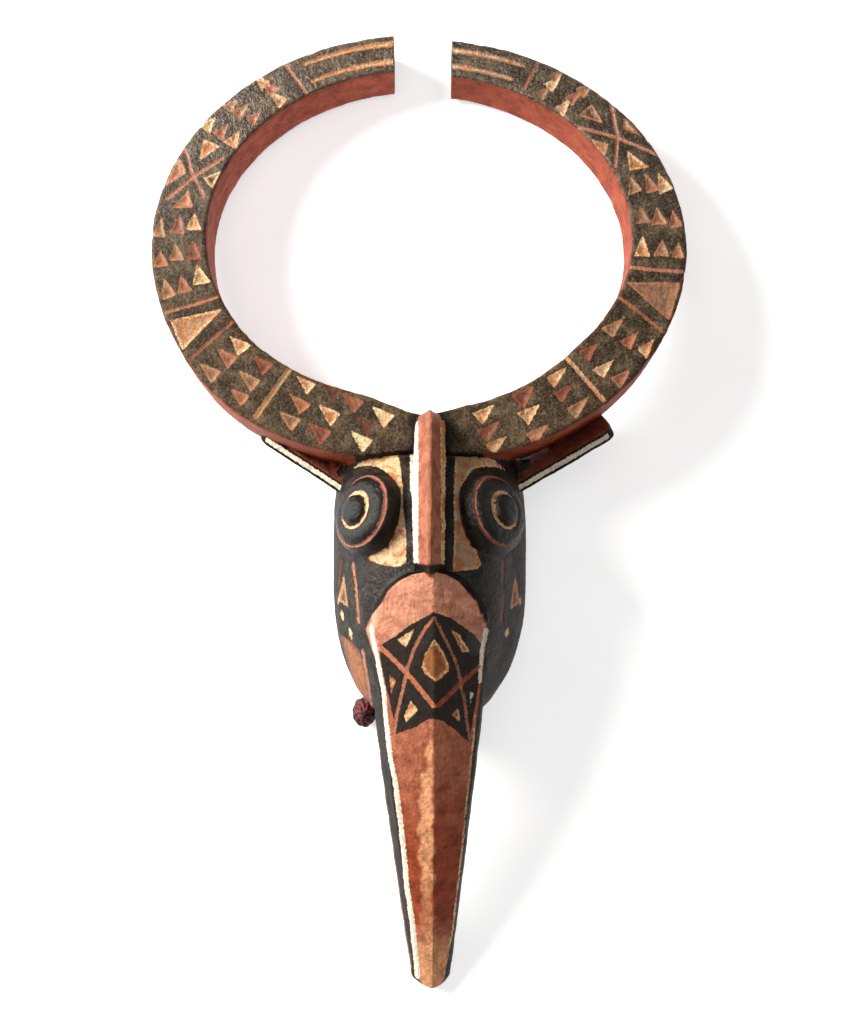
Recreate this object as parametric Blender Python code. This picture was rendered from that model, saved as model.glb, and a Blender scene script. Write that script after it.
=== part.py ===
# A carved and painted wooden bird mask with two horns that bend into a ring.
# It lies face up as it would on a table: the rim of its hollow, the two horn tips and the
# beak's tip all rest on z = 0. X runs across the mask, +Y towards the horn tips, +Z up.
# Sizes are in metres, and the origin is under the middle of the whole mask.
import math

import bmesh
import bpy
from mathutils import Matrix, Vector

# The head is an egg-shaped dome over a flat rim.
HEAD_X = 0.009                # the head sits this far to the right of the ring's middle
HEAD_Y = -0.055               # the widest point of the head, along the mask
HEAD_HALF_WIDTH = 0.088
HEAD_TO_CROWN = 0.138
HEAD_TO_CHIN = 0.138
HEAD_HEIGHT = 0.138
HEAD_WALL = 0.014
CHIN_LEAN = -0.003            # the chin is carved a little to the left
CROWN_SQUARENESS = 4.0        # superellipse exponents: 2 is an ellipse, more is squarer
CHIN_SQUARENESS = 2.2
PROFILE_SQUARENESS = 2.5

# The two horns are one ring with a gap at its top.
RING_HALF_WIDTH = 0.2336
RING_HALF_HEIGHT = 0.1937
HORN_WIDTH_ROOT = 0.052
HORN_WIDTH_SIDE = 0.048
HORN_WIDTH_TIP = 0.035
HORN_DEPTH_ROOT = 0.060
HORN_DEPTH_TIP = 0.047
HORN_EDGE_ROUND = 0.003
HORN_GAP = 0.052
HORN_GAP_X = 0.0027            # the gap lies a little right of the ring's middle
HORN_NOTCH_DEPTH = 0.008      # the ring's inner edge dips where the two horns meet
HORN_NOTCH_SPREAD = 0.16      # in radians round the ring
HORN_NOTCH_SKEW = 0.018       # the dip is steeper on the right than on the left
LEFT_HORN_OUT = 0.0045        # each horn swings out by this much at its tip
RIGHT_HORN_OUT = 0.0005
LEFT_HORN_BULGE = 0.005       # beside the head the left horn swells outwards
RIGHT_HORN_BULGE = 0.003      # and the right horn swells inwards
HORN_ROOT_DENT = 0.009        # the outer edge dips too, over the brow
HORN_ROOT_DENT_SPREAD = 0.19  # in radians round the ring
RING_TILT = math.radians(9.1)
RING_PAST_CROWN = 0.015       # the inner edge stands this far beyond the crown

# The beak runs from an arch on the brow to a blunt tip on the floor.
BEAK_LENGTH = 0.388
BEAK_ARCH_LENGTH = 0.051
BROW_TO_EYES = 0.048          # from the eyes' middles down to the top of the beak's arch
BEAK_HALF_WIDTH_ROOT = 0.0475
BEAK_HALF_WIDTH_TIP = 0.0111
BEAK_TIP_ROUND = 0.011
BEAK_ROOT_HEIGHT = 0.156      # the ridge's height at the arch
BEAK_TIP_HEIGHT = 0.015
BEAK_TIP_SLOPE = 0.50         # rise of the ridge for each metre from the tip
BEAK_UNDER_SLOPE = 0.27
BEAK_ROOF_SLOPE = 0.40        # fall of the two top faces away from the ridge
BEAK_EDGE_BEVEL = 0.0045      # the narrow band between a top face and a side wall
BEAK_FLARE = 0.12             # how far the side walls lean out for each metre of their height
BEAK_FLARE_LEAST = 0.0042
BEAK_TIP_X = 0.0015           # the tip points this far to the right
BEAK_ROLL = math.radians(5)   # the beak is carved turned a little, its ridge to the right

# The crest is a sharp fin from the beak's arch to the meeting of the horns.
CREST_HALF_WIDTH = 0.0098
CREST_LEDGE = 0.0048          # the sloping ledge along each side of its foot
CREST_RISE = 0.018            # its sloping faces, measured straight up
CREST_ROOT_DEPTH = 0.034
CREST_ABOVE_BEAK = 0.004
CREST_OVER_BEAK = 0.003         # how far its foot laps over the arch
CREST_MIDDLE_LIFT = 0.014
CREST_TOP_HEIGHT = 0.126      # at the end that stands over the horns
CREST_BLUNT = 0.0016
CREST_ROUND_END = 0.10        # share of its length that rounds off over the horns

# The eyes are turned bosses on the shoulders of the dome.
EYE_X = 0.054
EYE_Y = 0.059                 # above the head's widest point
EYE_OUTWARD = math.radians(47)
EYE_UPWARD = math.radians(16)
EYE_RADIUS = 0.0355
EYE_HEIGHT = 0.019
EYE_SINK = 0.011              # how deep the boss is let into the dome

# The knife cuts on the horns' front; rows and cuts are placed by degrees round the ring.
LEFT_TOOTH_ROWS = (30, 43, 52, 77, 86, 95, 125, 133, 142)
RIGHT_TOOTH_ROWS = (16, 27, 37, 50, 60, 88, 97, 108, 140, 147)
LEFT_CROSS_CUTS = (37, 59, 70, 149)
RIGHT_CROSS_CUTS = (43, 67, 81, 152)
LEFT_CROSSED_PANEL = (103, 117)
RIGHT_CROSSED_PANEL = (115, 132)
TOOTH_SHARES = (0.20, 0.52, 0.84)   # places across the band, from its inner edge
TOOTH_WIDTH_SHARE = 0.25            # of the band's width there
TOOTH_LENGTH_SHARE = 0.33
HANGING_LENGTH_SHARE = 0.24
TOOTH_DEPTH = 0.002
TOOTH_LIFT = 0.0001                 # the cutters start this far above the wood
HANGING_TEETH_TO = 62               # degrees; nearer the head the teeth hang down
CUT_WIDTH = 0.003

# The ears are flat plates behind the horns.
EAR_REACH_LEFT = 0.083
EAR_REACH_RIGHT = 0.096
EAR_WIDTH = 0.058
EAR_THICKNESS = 0.011
EAR_CORNER = 0.012
EAR_RISE_LEFT = math.radians(33)
EAR_RISE_RIGHT = math.radians(30)
EAR_LEAN = math.radians(29)
EAR_FRONT_HEIGHT = 0.066
EAR_Y = 0.083                 # above the head's widest point
EAR_ROOT = 0.030              # the hidden part inside the head's wall

# The knot is a ball of dark red fibre that lies against the chin.
KNOT_RADIUS = 0.0138
KNOT_ANGLE = math.radians(245)  # its bearing from the head's widest point
KNOT_PRESSED = 0.004
CLEARANCE = 0.0003

# How finely the curved forms are cut into facets.
HEAD_SEGMENTS = 44
HEAD_RINGS = 26
CAVITY_SEGMENTS = 32
CAVITY_RINGS = 18
RING_SEGMENTS = 88
BEAK_STEPS = 22
ARCH_STEPS = 7
CREST_STEPS = 20
EYE_SEGMENTS = 36

WOOD_COLOUR = (0.060, 0.045, 0.036, 1.0)
FIBRE_COLOUR = (0.085, 0.012, 0.010, 1.0)


def clear_scene():
    for old in list(bpy.data.objects):
        bpy.data.objects.remove(old)


def new_collection(name):
    made = bpy.data.collections.new(name)
    bpy.context.scene.collection.children.link(made)
    return made


def new_material(name, colour, roughness):
    made = bpy.data.materials.new(name)
    made.use_nodes = True
    shader = made.node_tree.nodes["Principled BSDF"]
    shader.inputs["Base Color"].default_value = colour
    shader.inputs["Roughness"].default_value = roughness
    shader.inputs["Metallic"].default_value = 0.0
    return made


def object_from(name, shape, collection):
    """Turns a bmesh into a linked object whose faces point outwards."""
    bmesh.ops.recalc_face_normals(shape, faces=shape.faces)
    mesh = bpy.data.meshes.new(name)
    shape.to_mesh(mesh)
    shape.free()
    made = bpy.data.objects.new(name, mesh)
    collection.objects.link(made)
    return made


def loft(name, sections, collection):
    """A closed solid through a row of closed sections, with a flat cap at each end."""
    shape = bmesh.new()
    rings = [[shape.verts.new(point) for point in section] for section in sections]
    for low, high in zip(rings, rings[1:]):
        for i in range(len(low)):
            j = (i + 1) % len(low)
            shape.faces.new((low[i], low[j], high[j], high[i]))
    shape.faces.new(rings[0])
    shape.faces.new(rings[-1])
    return object_from(name, shape, collection)


def mix(a, b, share):
    return a + (b - a) * share


def egg_share(x, y, inset=0.0):
    """How far out a point of the plan lies: 0 over the head's middle and 1 on its rim."""
    half_length, power = (HEAD_TO_CROWN, CROWN_SQUARENESS) if y > 0 else (HEAD_TO_CHIN, CHIN_SQUARENESS)
    across = abs(x) / (HEAD_HALF_WIDTH - inset)
    along = abs(y) / (half_length - inset)
    return (across ** power + along ** power) ** (1 / power)


def chin_shift(y):
    """Sideways lean of the head at a distance from its widest point, towards the chin only."""
    return CHIN_LEAN * (min(0.0, y) / HEAD_TO_CHIN) ** 2


def dome_height(x, y):
    """Height of the head's outer surface over a point measured from its widest point."""
    share = min(1.0, egg_share(x, y))
    return HEAD_HEIGHT * (1 - share ** PROFILE_SQUARENESS) ** (1 / PROFILE_SQUARENESS)


def egg_solid(name, inset, segments, rings, collection):
    """The head's egg, each surface moved in by inset: a sphere drawn out to the superellipses."""
    shape = bmesh.new()
    bmesh.ops.create_uvsphere(shape, u_segments=segments, v_segments=rings, radius=1.0)
    for corner in shape.verts:
        flat = math.hypot(corner.co.x, corner.co.y)
        up = corner.co.z
        if flat < 1e-6:
            x = y = 0.0
        else:
            side, along = corner.co.x / flat, corner.co.y / flat
            reach = flat ** (2 / PROFILE_SQUARENESS) / egg_share(side, along, inset)
            x, y = side * reach, along * reach
        z = math.copysign(abs(up) ** (2 / PROFILE_SQUARENESS) * (HEAD_HEIGHT - inset), up)
        corner.co = (HEAD_X + x + chin_shift(y), HEAD_Y + y, z)
    return object_from(name, shape, collection)


def head_solid(collection):
    """The outer dome, cut off flat at the rim."""
    made = egg_solid("head_dome", 0.0, HEAD_SEGMENTS, HEAD_RINGS, collection)
    shape = bmesh.new()
    shape.from_mesh(made.data)
    everything = shape.verts[:] + shape.edges[:] + shape.faces[:]
    bmesh.ops.bisect_plane(shape, geom=everything, plane_co=(0, 0, 0), plane_no=(0, 0, 1), clear_inner=True)
    bmesh.ops.holes_fill(shape, edges=[e for e in shape.edges if e.is_boundary])
    bmesh.ops.recalc_face_normals(shape, faces=shape.faces)
    shape.to_mesh(made.data)
    shape.free()
    return made


def rounded_section(across, depth, corner):
    """A rectangle seen end on, from 0 to across and 0 down to -depth, with cut corners."""
    return [
        (corner, 0), (across - corner, 0), (across, -corner), (across, -depth + corner),
        (across - corner, -depth), (corner, -depth), (0, -depth + corner), (0, -corner),
    ]


def horn_edges(angle):
    """Outer and inner edge of the horns' front, with angle 0 where the horns meet."""
    mean_end = (HORN_WIDTH_ROOT + HORN_WIDTH_TIP) / 2
    shift = (HORN_WIDTH_ROOT - HORN_WIDTH_TIP) / 2
    notch = HORN_NOTCH_DEPTH * math.exp(-((angle / HORN_NOTCH_SPREAD) ** 2))
    notch += HORN_NOTCH_SKEW * angle * math.exp(-4 * angle ** 2)
    outer = Vector((RING_HALF_WIDTH * math.sin(angle), -RING_HALF_HEIGHT * math.cos(angle)))
    inner = Vector((
        (RING_HALF_WIDTH - HORN_WIDTH_SIDE) * math.sin(angle),
        shift - (RING_HALF_HEIGHT - mean_end) * math.cos(angle) - notch,
    ))
    swing = (LEFT_HORN_OUT if angle < 0 else RIGHT_HORN_OUT) * math.sin(angle / 2) ** 4
    out_bulge = LEFT_HORN_BULGE * math.exp(-8 * (angle + 0.75) ** 2)
    in_bulge = RIGHT_HORN_BULGE * math.exp(-8 * (angle - 0.85) ** 2)
    outer += outer.normalized() * (swing + out_bulge)
    inner += inner.normalized() * (swing - in_bulge)
    outer.y += HORN_ROOT_DENT * math.exp(-((angle / HORN_ROOT_DENT_SPREAD) ** 2))
    return outer, inner


def horn_section(angle):
    """One section of the ring, in the ring's own plane."""
    outer, inner = horn_edges(angle)
    depth = mix(HORN_DEPTH_TIP, HORN_DEPTH_ROOT, math.cos(angle / 2) ** 1.5)
    across = outer - inner
    points = rounded_section(across.length, depth, HORN_EDGE_ROUND)
    return [(*(inner + across.normalized() * out), down) for out, down in points]


def ring_last_angle():
    """Where the ring ends, inside the gap that is cut later."""
    return math.pi - math.asin((HORN_GAP / 2 - HORN_GAP_X) / RING_HALF_WIDTH) * 0.7


def ring_place():
    """The turn and the move that bring the ring's own plane to its place on the head."""
    tilt = Matrix.Rotation(-RING_TILT, 4, "X")
    last = ring_last_angle()
    points = [
        tilt @ Vector(point)
        for i in range(RING_SEGMENTS + 1)
        for point in horn_section(last * (2 * i / RING_SEGMENTS - 1))
    ]
    floor = min(point.z for point in points)
    inner_foot = (tilt @ Vector((0, (HORN_WIDTH_ROOT - HORN_WIDTH_TIP) / 2
                                 - RING_HALF_HEIGHT + (HORN_WIDTH_ROOT + HORN_WIDTH_TIP) / 2, 0))).y
    move = (0, HEAD_Y + HEAD_TO_CROWN + RING_PAST_CROWN - inner_foot, -floor)
    return Matrix.Translation(move) @ tilt


def horn_ring(collection):
    """Both horns as one sweep, tilted so that the tips come down to the floor."""
    place = ring_place()
    last = ring_last_angle()
    sections = [
        [place @ Vector(point) for point in horn_section(last * (2 * i / RING_SEGMENTS - 1))]
        for i in range(RING_SEGMENTS + 1)
    ]
    return loft("horn_ring", sections, collection)


def on_band(degrees, share):
    """A place on the horns' front, in the ring's own plane."""
    outer, inner = horn_edges(math.radians(degrees))
    return inner + (outer - inner) * share


def tooth_corners(degrees, share):
    """The three corners of one tooth: it points to the tip, or hangs down near the head."""
    side = math.copysign(1, degrees)
    width = (on_band(degrees, 1) - on_band(degrees, 0)).length
    middle = on_band(degrees, share)
    if abs(degrees) < HANGING_TEETH_TO:
        forward = Vector((0, -1))
        length = width * HANGING_LENGTH_SHARE
    else:
        forward = (on_band(degrees + side, share) - on_band(degrees - side, share)).normalized()
        length = width * TOOTH_LENGTH_SHARE
    across = Vector((-forward.y, forward.x))
    half = width * TOOTH_WIDTH_SHARE / 2
    back = middle - forward * length * 0.4
    return [middle + forward * length * 0.6, back + across * half, back - across * half]


def teeth(collection):
    """All the small pits as one set of three-sided pyramids with their tips down."""
    shape = bmesh.new()
    rows = [-degrees for degrees in LEFT_TOOTH_ROWS] + list(RIGHT_TOOTH_ROWS)
    spread = (TOOTH_DEPTH + TOOTH_LIFT) / TOOTH_DEPTH
    for degrees in rows:
        for share in TOOTH_SHARES:
            corners = tooth_corners(degrees, share)
            middle = sum(corners, Vector((0, 0))) / 3
            made = bmesh.ops.create_cone(shape, cap_ends=True, segments=3, radius1=0.5,
                                         radius2=1.0, depth=1.0)["verts"]
            top = [corner for corner in made if corner.co.z > 0]
            tip = [corner for corner in made if corner.co.z < 0]
            for corner, flat in zip(top, corners):
                corner.co = (*(middle + (flat - middle) * spread), TOOTH_LIFT)
            for corner in tip:
                corner.co = (*middle, -TOOTH_DEPTH)
            bmesh.ops.remove_doubles(shape, verts=tip, dist=0.00001)
    bmesh.ops.recalc_face_normals(shape, faces=shape.faces)
    bmesh.ops.transform(shape, matrix=ring_place(), verts=shape.verts)
    return object_from("teeth", shape, collection)


def cross_cuts(name, lines, lift, collection):
    """Straight grooves with a vee section; each line gives both ends by degrees and share.

    Grooves that cross have a different lift, so that their bottoms don't meet in one point.
    """
    shape = bmesh.new()
    for start, end in lines:
        a = on_band(*start)
        b = on_band(*end)
        side = CUT_WIDTH / math.sqrt(2)
        made = bmesh.ops.create_cube(shape, size=1.0)["verts"]
        bmesh.ops.scale(shape, vec=((b - a).length, side, side), verts=made)
        turn = Matrix.Rotation(math.atan2(b.y - a.y, b.x - a.x), 4, "Z")
        place = Matrix.Translation((*((a + b) / 2), lift))
        turn = place @ turn @ Matrix.Rotation(math.radians(45), 4, "X")
        bmesh.ops.transform(shape, matrix=turn, verts=made)
    bmesh.ops.transform(shape, matrix=ring_place(), verts=shape.verts)
    return object_from(name, shape, collection)


def pattern_cutters(collection):
    """The teeth, the straight cuts with one diagonal of each panel, and the other diagonals."""
    degrees = [-d for d in LEFT_CROSS_CUTS] + list(RIGHT_CROSS_CUTS)
    straight = [((d, -0.04), (d, 1.04)) for d in degrees]
    near_left, far_left = LEFT_CROSSED_PANEL
    near_right, far_right = RIGHT_CROSSED_PANEL
    falling = [((-far_left, 0.92), (-near_left, 0.12)), ((far_right, 0.92), (near_right, 0.12))]
    rising = [((-far_left, 0.12), (-near_left, 0.88)), ((far_right, 0.08), (near_right, 0.92))]
    return [
        teeth(collection),
        cross_cuts("straight_cuts", straight + falling, 2 * TOOTH_LIFT, collection),
        cross_cuts("second_diagonals", rising, 5 * TOOTH_LIFT, collection),
    ]


def horn_gap(collection):
    """The block that cuts both tips off square."""
    shape = bmesh.new()
    bmesh.ops.create_cube(shape, size=1.0)
    bmesh.ops.scale(shape, vec=(HORN_GAP, RING_HALF_HEIGHT, 0.4), verts=shape.verts)
    place = (HORN_GAP_X, HEAD_Y + HEAD_TO_CROWN + RING_PAST_CROWN + RING_HALF_HEIGHT * 1.75, 0)
    bmesh.ops.translate(shape, vec=place, verts=shape.verts)
    return object_from("horn_gap", shape, collection)


def beak_half_width(distance):
    """Half the width between the beak's top edges, at a distance from its tip."""
    base = BEAK_LENGTH - BEAK_ARCH_LENGTH
    if distance > base:
        into_arch = (distance - base) / BEAK_ARCH_LENGTH
        return BEAK_HALF_WIDTH_ROOT * math.sqrt(max(0.0, 1 - into_arch ** 2))
    width = mix(BEAK_HALF_WIDTH_TIP, BEAK_HALF_WIDTH_ROOT, distance / base)
    if distance < BEAK_TIP_ROUND:
        width *= math.sqrt(max(0.0, 1 - (1 - distance / BEAK_TIP_ROUND) ** 2))
    return width


def beak_ridge(distance):
    """Height of the ridge: steep at the tip and flatter towards the brow."""
    mean_slope = (BEAK_ROOT_HEIGHT - BEAK_TIP_HEIGHT) / BEAK_LENGTH
    bend = (BEAK_TIP_SLOPE - mean_slope) / BEAK_LENGTH
    return BEAK_TIP_HEIGHT + BEAK_TIP_SLOPE * distance - bend * distance ** 2


def beak_section(distance):
    """One upright section of the beak: two top faces, narrow bevels, side walls and an underside."""
    width = max(0.0015, beak_half_width(distance))
    ridge = beak_ridge(distance)
    edge = ridge - BEAK_ROOF_SLOPE * width
    under = BEAK_UNDER_SLOPE * distance
    near_end = min(1.0, width / BEAK_HALF_WIDTH_TIP)
    bevel = BEAK_EDGE_BEVEL * near_end
    flare = (BEAK_FLARE_LEAST + BEAK_FLARE * (edge - under)) * near_end
    drop = min(bevel, (edge - under) * 0.45)
    half = [
        (width * 0.5, ridge - BEAK_ROOF_SLOPE * width * 0.42),
        (width, edge),
        (width + bevel * 0.6, edge - drop),
        (width + flare, under + drop * 0.4),
        (width + flare - drop * 0.6, under),
    ]
    outline = [(0.0, ridge)] + half + [(-x, z) for x, z in reversed(half)]
    middle = (edge + under) / 2
    turned = [
        (x * math.cos(BEAK_ROLL) + (z - middle) * math.sin(BEAK_ROLL),
         middle - x * math.sin(BEAK_ROLL) + (z - middle) * math.cos(BEAK_ROLL))
        for x, z in outline
    ]
    sunk = min(0.0, min(z for x, z in turned))
    tip_y = HEAD_Y + EYE_Y - BROW_TO_EYES - BEAK_LENGTH
    aside = HEAD_X + BEAK_TIP_X * (1 - distance / BEAK_LENGTH)
    return [(aside + x, tip_y + distance, z - sunk) for x, z in turned]


def beak(collection):
    base = BEAK_LENGTH - BEAK_ARCH_LENGTH
    tip_part = [BEAK_TIP_ROUND * share ** 2 for share in (0.05, 0.35, 0.65)]
    straight = [mix(BEAK_TIP_ROUND, base, i / BEAK_STEPS) for i in range(BEAK_STEPS)]
    arch = [base + BEAK_ARCH_LENGTH * math.sin(math.pi / 2 * i / ARCH_STEPS) for i in range(ARCH_STEPS + 1)]
    return loft("beak", [beak_section(d) for d in tip_part + straight + arch], collection)


def crest_top(share):
    """Height of the crest's edge, from the beak's arch at 0 to the horns at 1."""
    foot = BEAK_ROOT_HEIGHT + CREST_ABOVE_BEAK
    return mix(foot, CREST_TOP_HEIGHT, share ** 2) + CREST_MIDDLE_LIFT * math.sin(math.pi * share ** 0.8)


def crest(collection):
    foot = HEAD_Y + EYE_Y - BROW_TO_EYES - CREST_OVER_BEAK
    end = HEAD_Y + HEAD_TO_CROWN + RING_PAST_CROWN - HORN_NOTCH_DEPTH + CREST_BLUNT
    sections = []
    even = CREST_STEPS * 2 // 3
    for i in range(CREST_STEPS + 1):
        past = max(0, i - even) / (CREST_STEPS - even)
        share = min(i, even) / even * (1 - CREST_ROUND_END) + CREST_ROUND_END * math.sin(past * math.pi / 2)
        top = crest_top(share)
        round_end = max(0.06, math.cos(past * math.pi / 2))
        width = CREST_HALF_WIDTH * (0.82 + 0.18 * math.sin(math.pi * min(1.0, share * 1.25))) * round_end
        top -= CREST_RISE * 0.35 * (1 - round_end)
        blunt = min(CREST_BLUNT, width / 3)
        half = [
            (blunt, top),
            (width * 0.70, top - CREST_RISE * 0.62),
            (width, top - CREST_RISE),
            (width + CREST_LEDGE * round_end, top - CREST_RISE - CREST_LEDGE),
            (width + CREST_LEDGE * round_end, top - CREST_ROOT_DEPTH),
        ]
        outline = half + [(-x, z) for x, z in reversed(half)]
        sections.append([(HEAD_X + x, mix(foot, end, share), z) for x, z in outline])
    return loft("crest", sections, collection)


# The eye boss in shares of its radius and height: pupil, groove, inner band, groove, outer band.
EYE_PROFILE = (
    (0.00, 1.00), (0.17, 0.985), (0.31, 0.92), (0.40, 0.80), (0.43, 0.66), (0.455, 0.58),
    (0.50, 0.57), (0.545, 0.64), (0.62, 0.65), (0.70, 0.60), (0.78, 0.50), (0.83, 0.38),
    (0.85, 0.31), (0.875, 0.31), (0.90, 0.33), (0.95, 0.16), (1.00, -0.22),
)


def eye(name, side, collection):
    """A turned boss, with its axis square to the dome's shoulder."""
    shape = bmesh.new()
    outline = [shape.verts.new((EYE_RADIUS * r, 0, EYE_HEIGHT * h)) for r, h in EYE_PROFILE]
    outline.append(shape.verts.new((EYE_RADIUS, 0, -EYE_SINK)))
    outline.append(shape.verts.new((0, 0, -EYE_SINK)))
    profile = [shape.edges.new(pair) for pair in zip(outline, outline[1:])]
    bmesh.ops.spin(shape, geom=outline + profile, cent=(0, 0, 0), axis=(0, 0, 1),
                   angle=math.tau, steps=EYE_SEGMENTS, use_merge=True)
    bmesh.ops.remove_doubles(shape, verts=shape.verts, dist=0.00002)
    middle = Vector((HEAD_X + side * EYE_X, HEAD_Y + EYE_Y, dome_height(EYE_X, EYE_Y)))
    axis = Vector((
        side * math.sin(EYE_OUTWARD) * math.cos(EYE_UPWARD),
        math.sin(EYE_UPWARD),
        math.cos(EYE_OUTWARD) * math.cos(EYE_UPWARD),
    ))
    turn = axis.to_track_quat("Z", "Y").to_matrix().to_4x4()
    bmesh.ops.transform(shape, matrix=Matrix.Translation(middle) @ turn, verts=shape.verts)
    return object_from(name, shape, collection)


def ear(name, side, reach, rise_angle, collection):
    """A plate with two round outer corners, set behind the horn."""
    shape = bmesh.new()
    length = reach + EAR_ROOT
    bmesh.ops.create_cube(shape, size=1.0)
    bmesh.ops.scale(shape, vec=(length, EAR_THICKNESS, EAR_WIDTH), verts=shape.verts)
    outer = [e for e in shape.edges if all(v.co.x > 0 for v in e.verts)
             and abs(e.verts[0].co.y - e.verts[1].co.y) > EAR_THICKNESS / 2]
    bmesh.ops.bevel(shape, geom=outer, offset=EAR_CORNER, segments=5, profile=0.5,
                    affect="EDGES", material=-1)
    bmesh.ops.translate(shape, vec=(length / 2 - EAR_ROOT, 0, -EAR_WIDTH / 2), verts=shape.verts)
    lean = Matrix.Rotation(EAR_LEAN, 4, "X")
    rise = Matrix.Rotation(rise_angle, 4, "Z")
    root_x = (HEAD_HALF_WIDTH - HEAD_WALL / 2)
    place = Matrix.Translation((root_x, HEAD_Y + EAR_Y, EAR_FRONT_HEIGHT))
    bmesh.ops.transform(shape, matrix=place @ rise @ lean, verts=shape.verts)
    for corner in shape.verts:
        corner.co.x = HEAD_X + side * corner.co.x
    return object_from(name, shape, collection)


def knot(collection, dome):
    """A lumpy ball of fibre, pressed flat where it lies against the chin."""
    out = Vector((math.cos(KNOT_ANGLE), math.sin(KNOT_ANGLE)))
    reach = 1 / egg_share(out.x, out.y) + KNOT_RADIUS - KNOT_PRESSED
    shape = bmesh.new()
    bmesh.ops.create_uvsphere(shape, u_segments=20, v_segments=12, radius=KNOT_RADIUS)
    for corner in shape.verts:
        bearing = math.atan2(corner.co.y, corner.co.x)
        swell = 1 + 0.05 * math.sin(4 * bearing + 60 * corner.co.z) - 0.05
        corner.co = Vector((corner.co.x * swell * 0.86, corner.co.y * swell * 1.08, corner.co.z * 0.96))
    bmesh.ops.translate(shape, verts=shape.verts, vec=(
        HEAD_X + out.x * reach + chin_shift(out.y * reach), HEAD_Y + out.y * reach, KNOT_RADIUS))
    made = object_from("fibre_knot", shape, collection)
    cut = made.modifiers.new("against the chin", "BOOLEAN")
    cut.operation = "DIFFERENCE"
    cut.object = dome
    cut.solver = "EXACT"
    return made


def combine(base, operation, other):
    step = base.modifiers.new(other.name, "BOOLEAN")
    step.operation = operation
    step.object = other
    step.solver = "EXACT"
    step.use_self = other.name == "teeth"


def hide_helper(helper):
    helper.hide_render = True
    helper.display_type = "WIRE"


def build():
    clear_scene()
    parts = new_collection("bird_mask")
    helpers = new_collection("carving_helpers")
    wood = new_material("painted_wood", WOOD_COLOUR, 0.7)
    fibre = new_material("dyed_fibre", FIBRE_COLOUR, 0.9)

    mask = head_solid(parts)
    mask.name = "mask_body"
    horns = horn_ring(helpers)
    for cutter in pattern_cutters(helpers):
        combine(horns, "DIFFERENCE", cutter)
        hide_helper(cutter)
    added = [
        horns,
        beak(helpers),
        crest(helpers),
        eye("eye_left", -1, helpers),
        eye("eye_right", 1, helpers),
        ear("ear_left", -1, EAR_REACH_LEFT, EAR_RISE_LEFT, helpers),
        ear("ear_right", 1, EAR_REACH_RIGHT, EAR_RISE_RIGHT, helpers),
    ]
    for solid in added:
        combine(mask, "UNION", solid)
        hide_helper(solid)
    gap = horn_gap(helpers)
    combine(mask, "DIFFERENCE", gap)
    hide_helper(gap)
    cavity = egg_solid("cavity", HEAD_WALL, CAVITY_SEGMENTS, CAVITY_RINGS, helpers)
    combine(mask, "DIFFERENCE", cavity)
    hide_helper(cavity)

    press = egg_solid("chin_clearance", -CLEARANCE, HEAD_SEGMENTS, HEAD_RINGS, helpers)
    hide_helper(press)
    tied = knot(parts, press)

    bpy.context.view_layer.update()
    corners = [Vector(corner) for corner in mask.evaluated_get(bpy.context.evaluated_depsgraph_get()).bound_box]
    middle = (corners[0] + corners[6]) / 2
    for solid in bpy.data.objects:
        solid.data.transform(Matrix.Translation((-middle.x, -middle.y, 0)))

    for made, material in ((mask, wood), (tied, fibre)):
        made.data.materials.clear()
        made.data.materials.append(material)
        made.data.shade_smooth()
        made.data.set_sharp_from_angle(angle=math.radians(40))


build()
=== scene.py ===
# %% [markdown]
# # A carved bird mask with horns bent into a ring
#
# The mask is one block of wood: a hollow head, a long beak, a crest, two round eyes, two
# flat ears, and two horns that nearly close into a ring. Its sizes come from the CAD frame.
# Here the same forms are made again with far more faces, cut as a carver's knife would cut
# them, and painted with soot black, red earth and white clay.

# %% The frame and its box
import math

import bmesh
import bpy
import numpy as np
from mathutils import Matrix, Vector, noise


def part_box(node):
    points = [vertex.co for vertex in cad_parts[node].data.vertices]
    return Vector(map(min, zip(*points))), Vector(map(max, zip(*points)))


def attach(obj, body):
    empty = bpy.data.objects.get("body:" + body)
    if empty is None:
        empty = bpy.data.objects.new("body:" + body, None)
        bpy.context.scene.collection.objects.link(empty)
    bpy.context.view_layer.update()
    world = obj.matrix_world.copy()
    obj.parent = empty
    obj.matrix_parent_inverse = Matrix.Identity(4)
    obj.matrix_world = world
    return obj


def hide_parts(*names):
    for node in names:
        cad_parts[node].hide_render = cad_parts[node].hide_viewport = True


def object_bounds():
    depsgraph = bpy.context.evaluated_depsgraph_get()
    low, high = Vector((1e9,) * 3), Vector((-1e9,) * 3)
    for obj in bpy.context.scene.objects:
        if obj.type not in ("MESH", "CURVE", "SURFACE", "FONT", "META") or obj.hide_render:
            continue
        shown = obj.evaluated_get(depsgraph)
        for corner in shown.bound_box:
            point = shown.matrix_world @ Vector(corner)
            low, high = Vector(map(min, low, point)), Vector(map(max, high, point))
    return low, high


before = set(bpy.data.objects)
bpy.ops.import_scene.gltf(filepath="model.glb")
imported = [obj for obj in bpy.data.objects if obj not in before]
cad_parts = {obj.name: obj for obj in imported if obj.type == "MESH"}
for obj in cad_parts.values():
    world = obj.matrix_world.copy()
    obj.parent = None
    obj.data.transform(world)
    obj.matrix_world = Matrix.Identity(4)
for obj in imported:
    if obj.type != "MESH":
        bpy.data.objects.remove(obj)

cad_low, cad_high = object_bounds()
mask_low, mask_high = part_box("mask_body")
MASK_MIDDLE = (mask_low + mask_high) / 2
print("CAD box in mm:", [round(1000 * v) for v in (*cad_low, *cad_high)])

# %% [markdown]
# ## Sizes
#
# Every form follows a few named sizes in metres. The head is an egg over a flat rim, and the
# horns are a band between two ellipses on a plane that leans 9 degrees.

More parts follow.
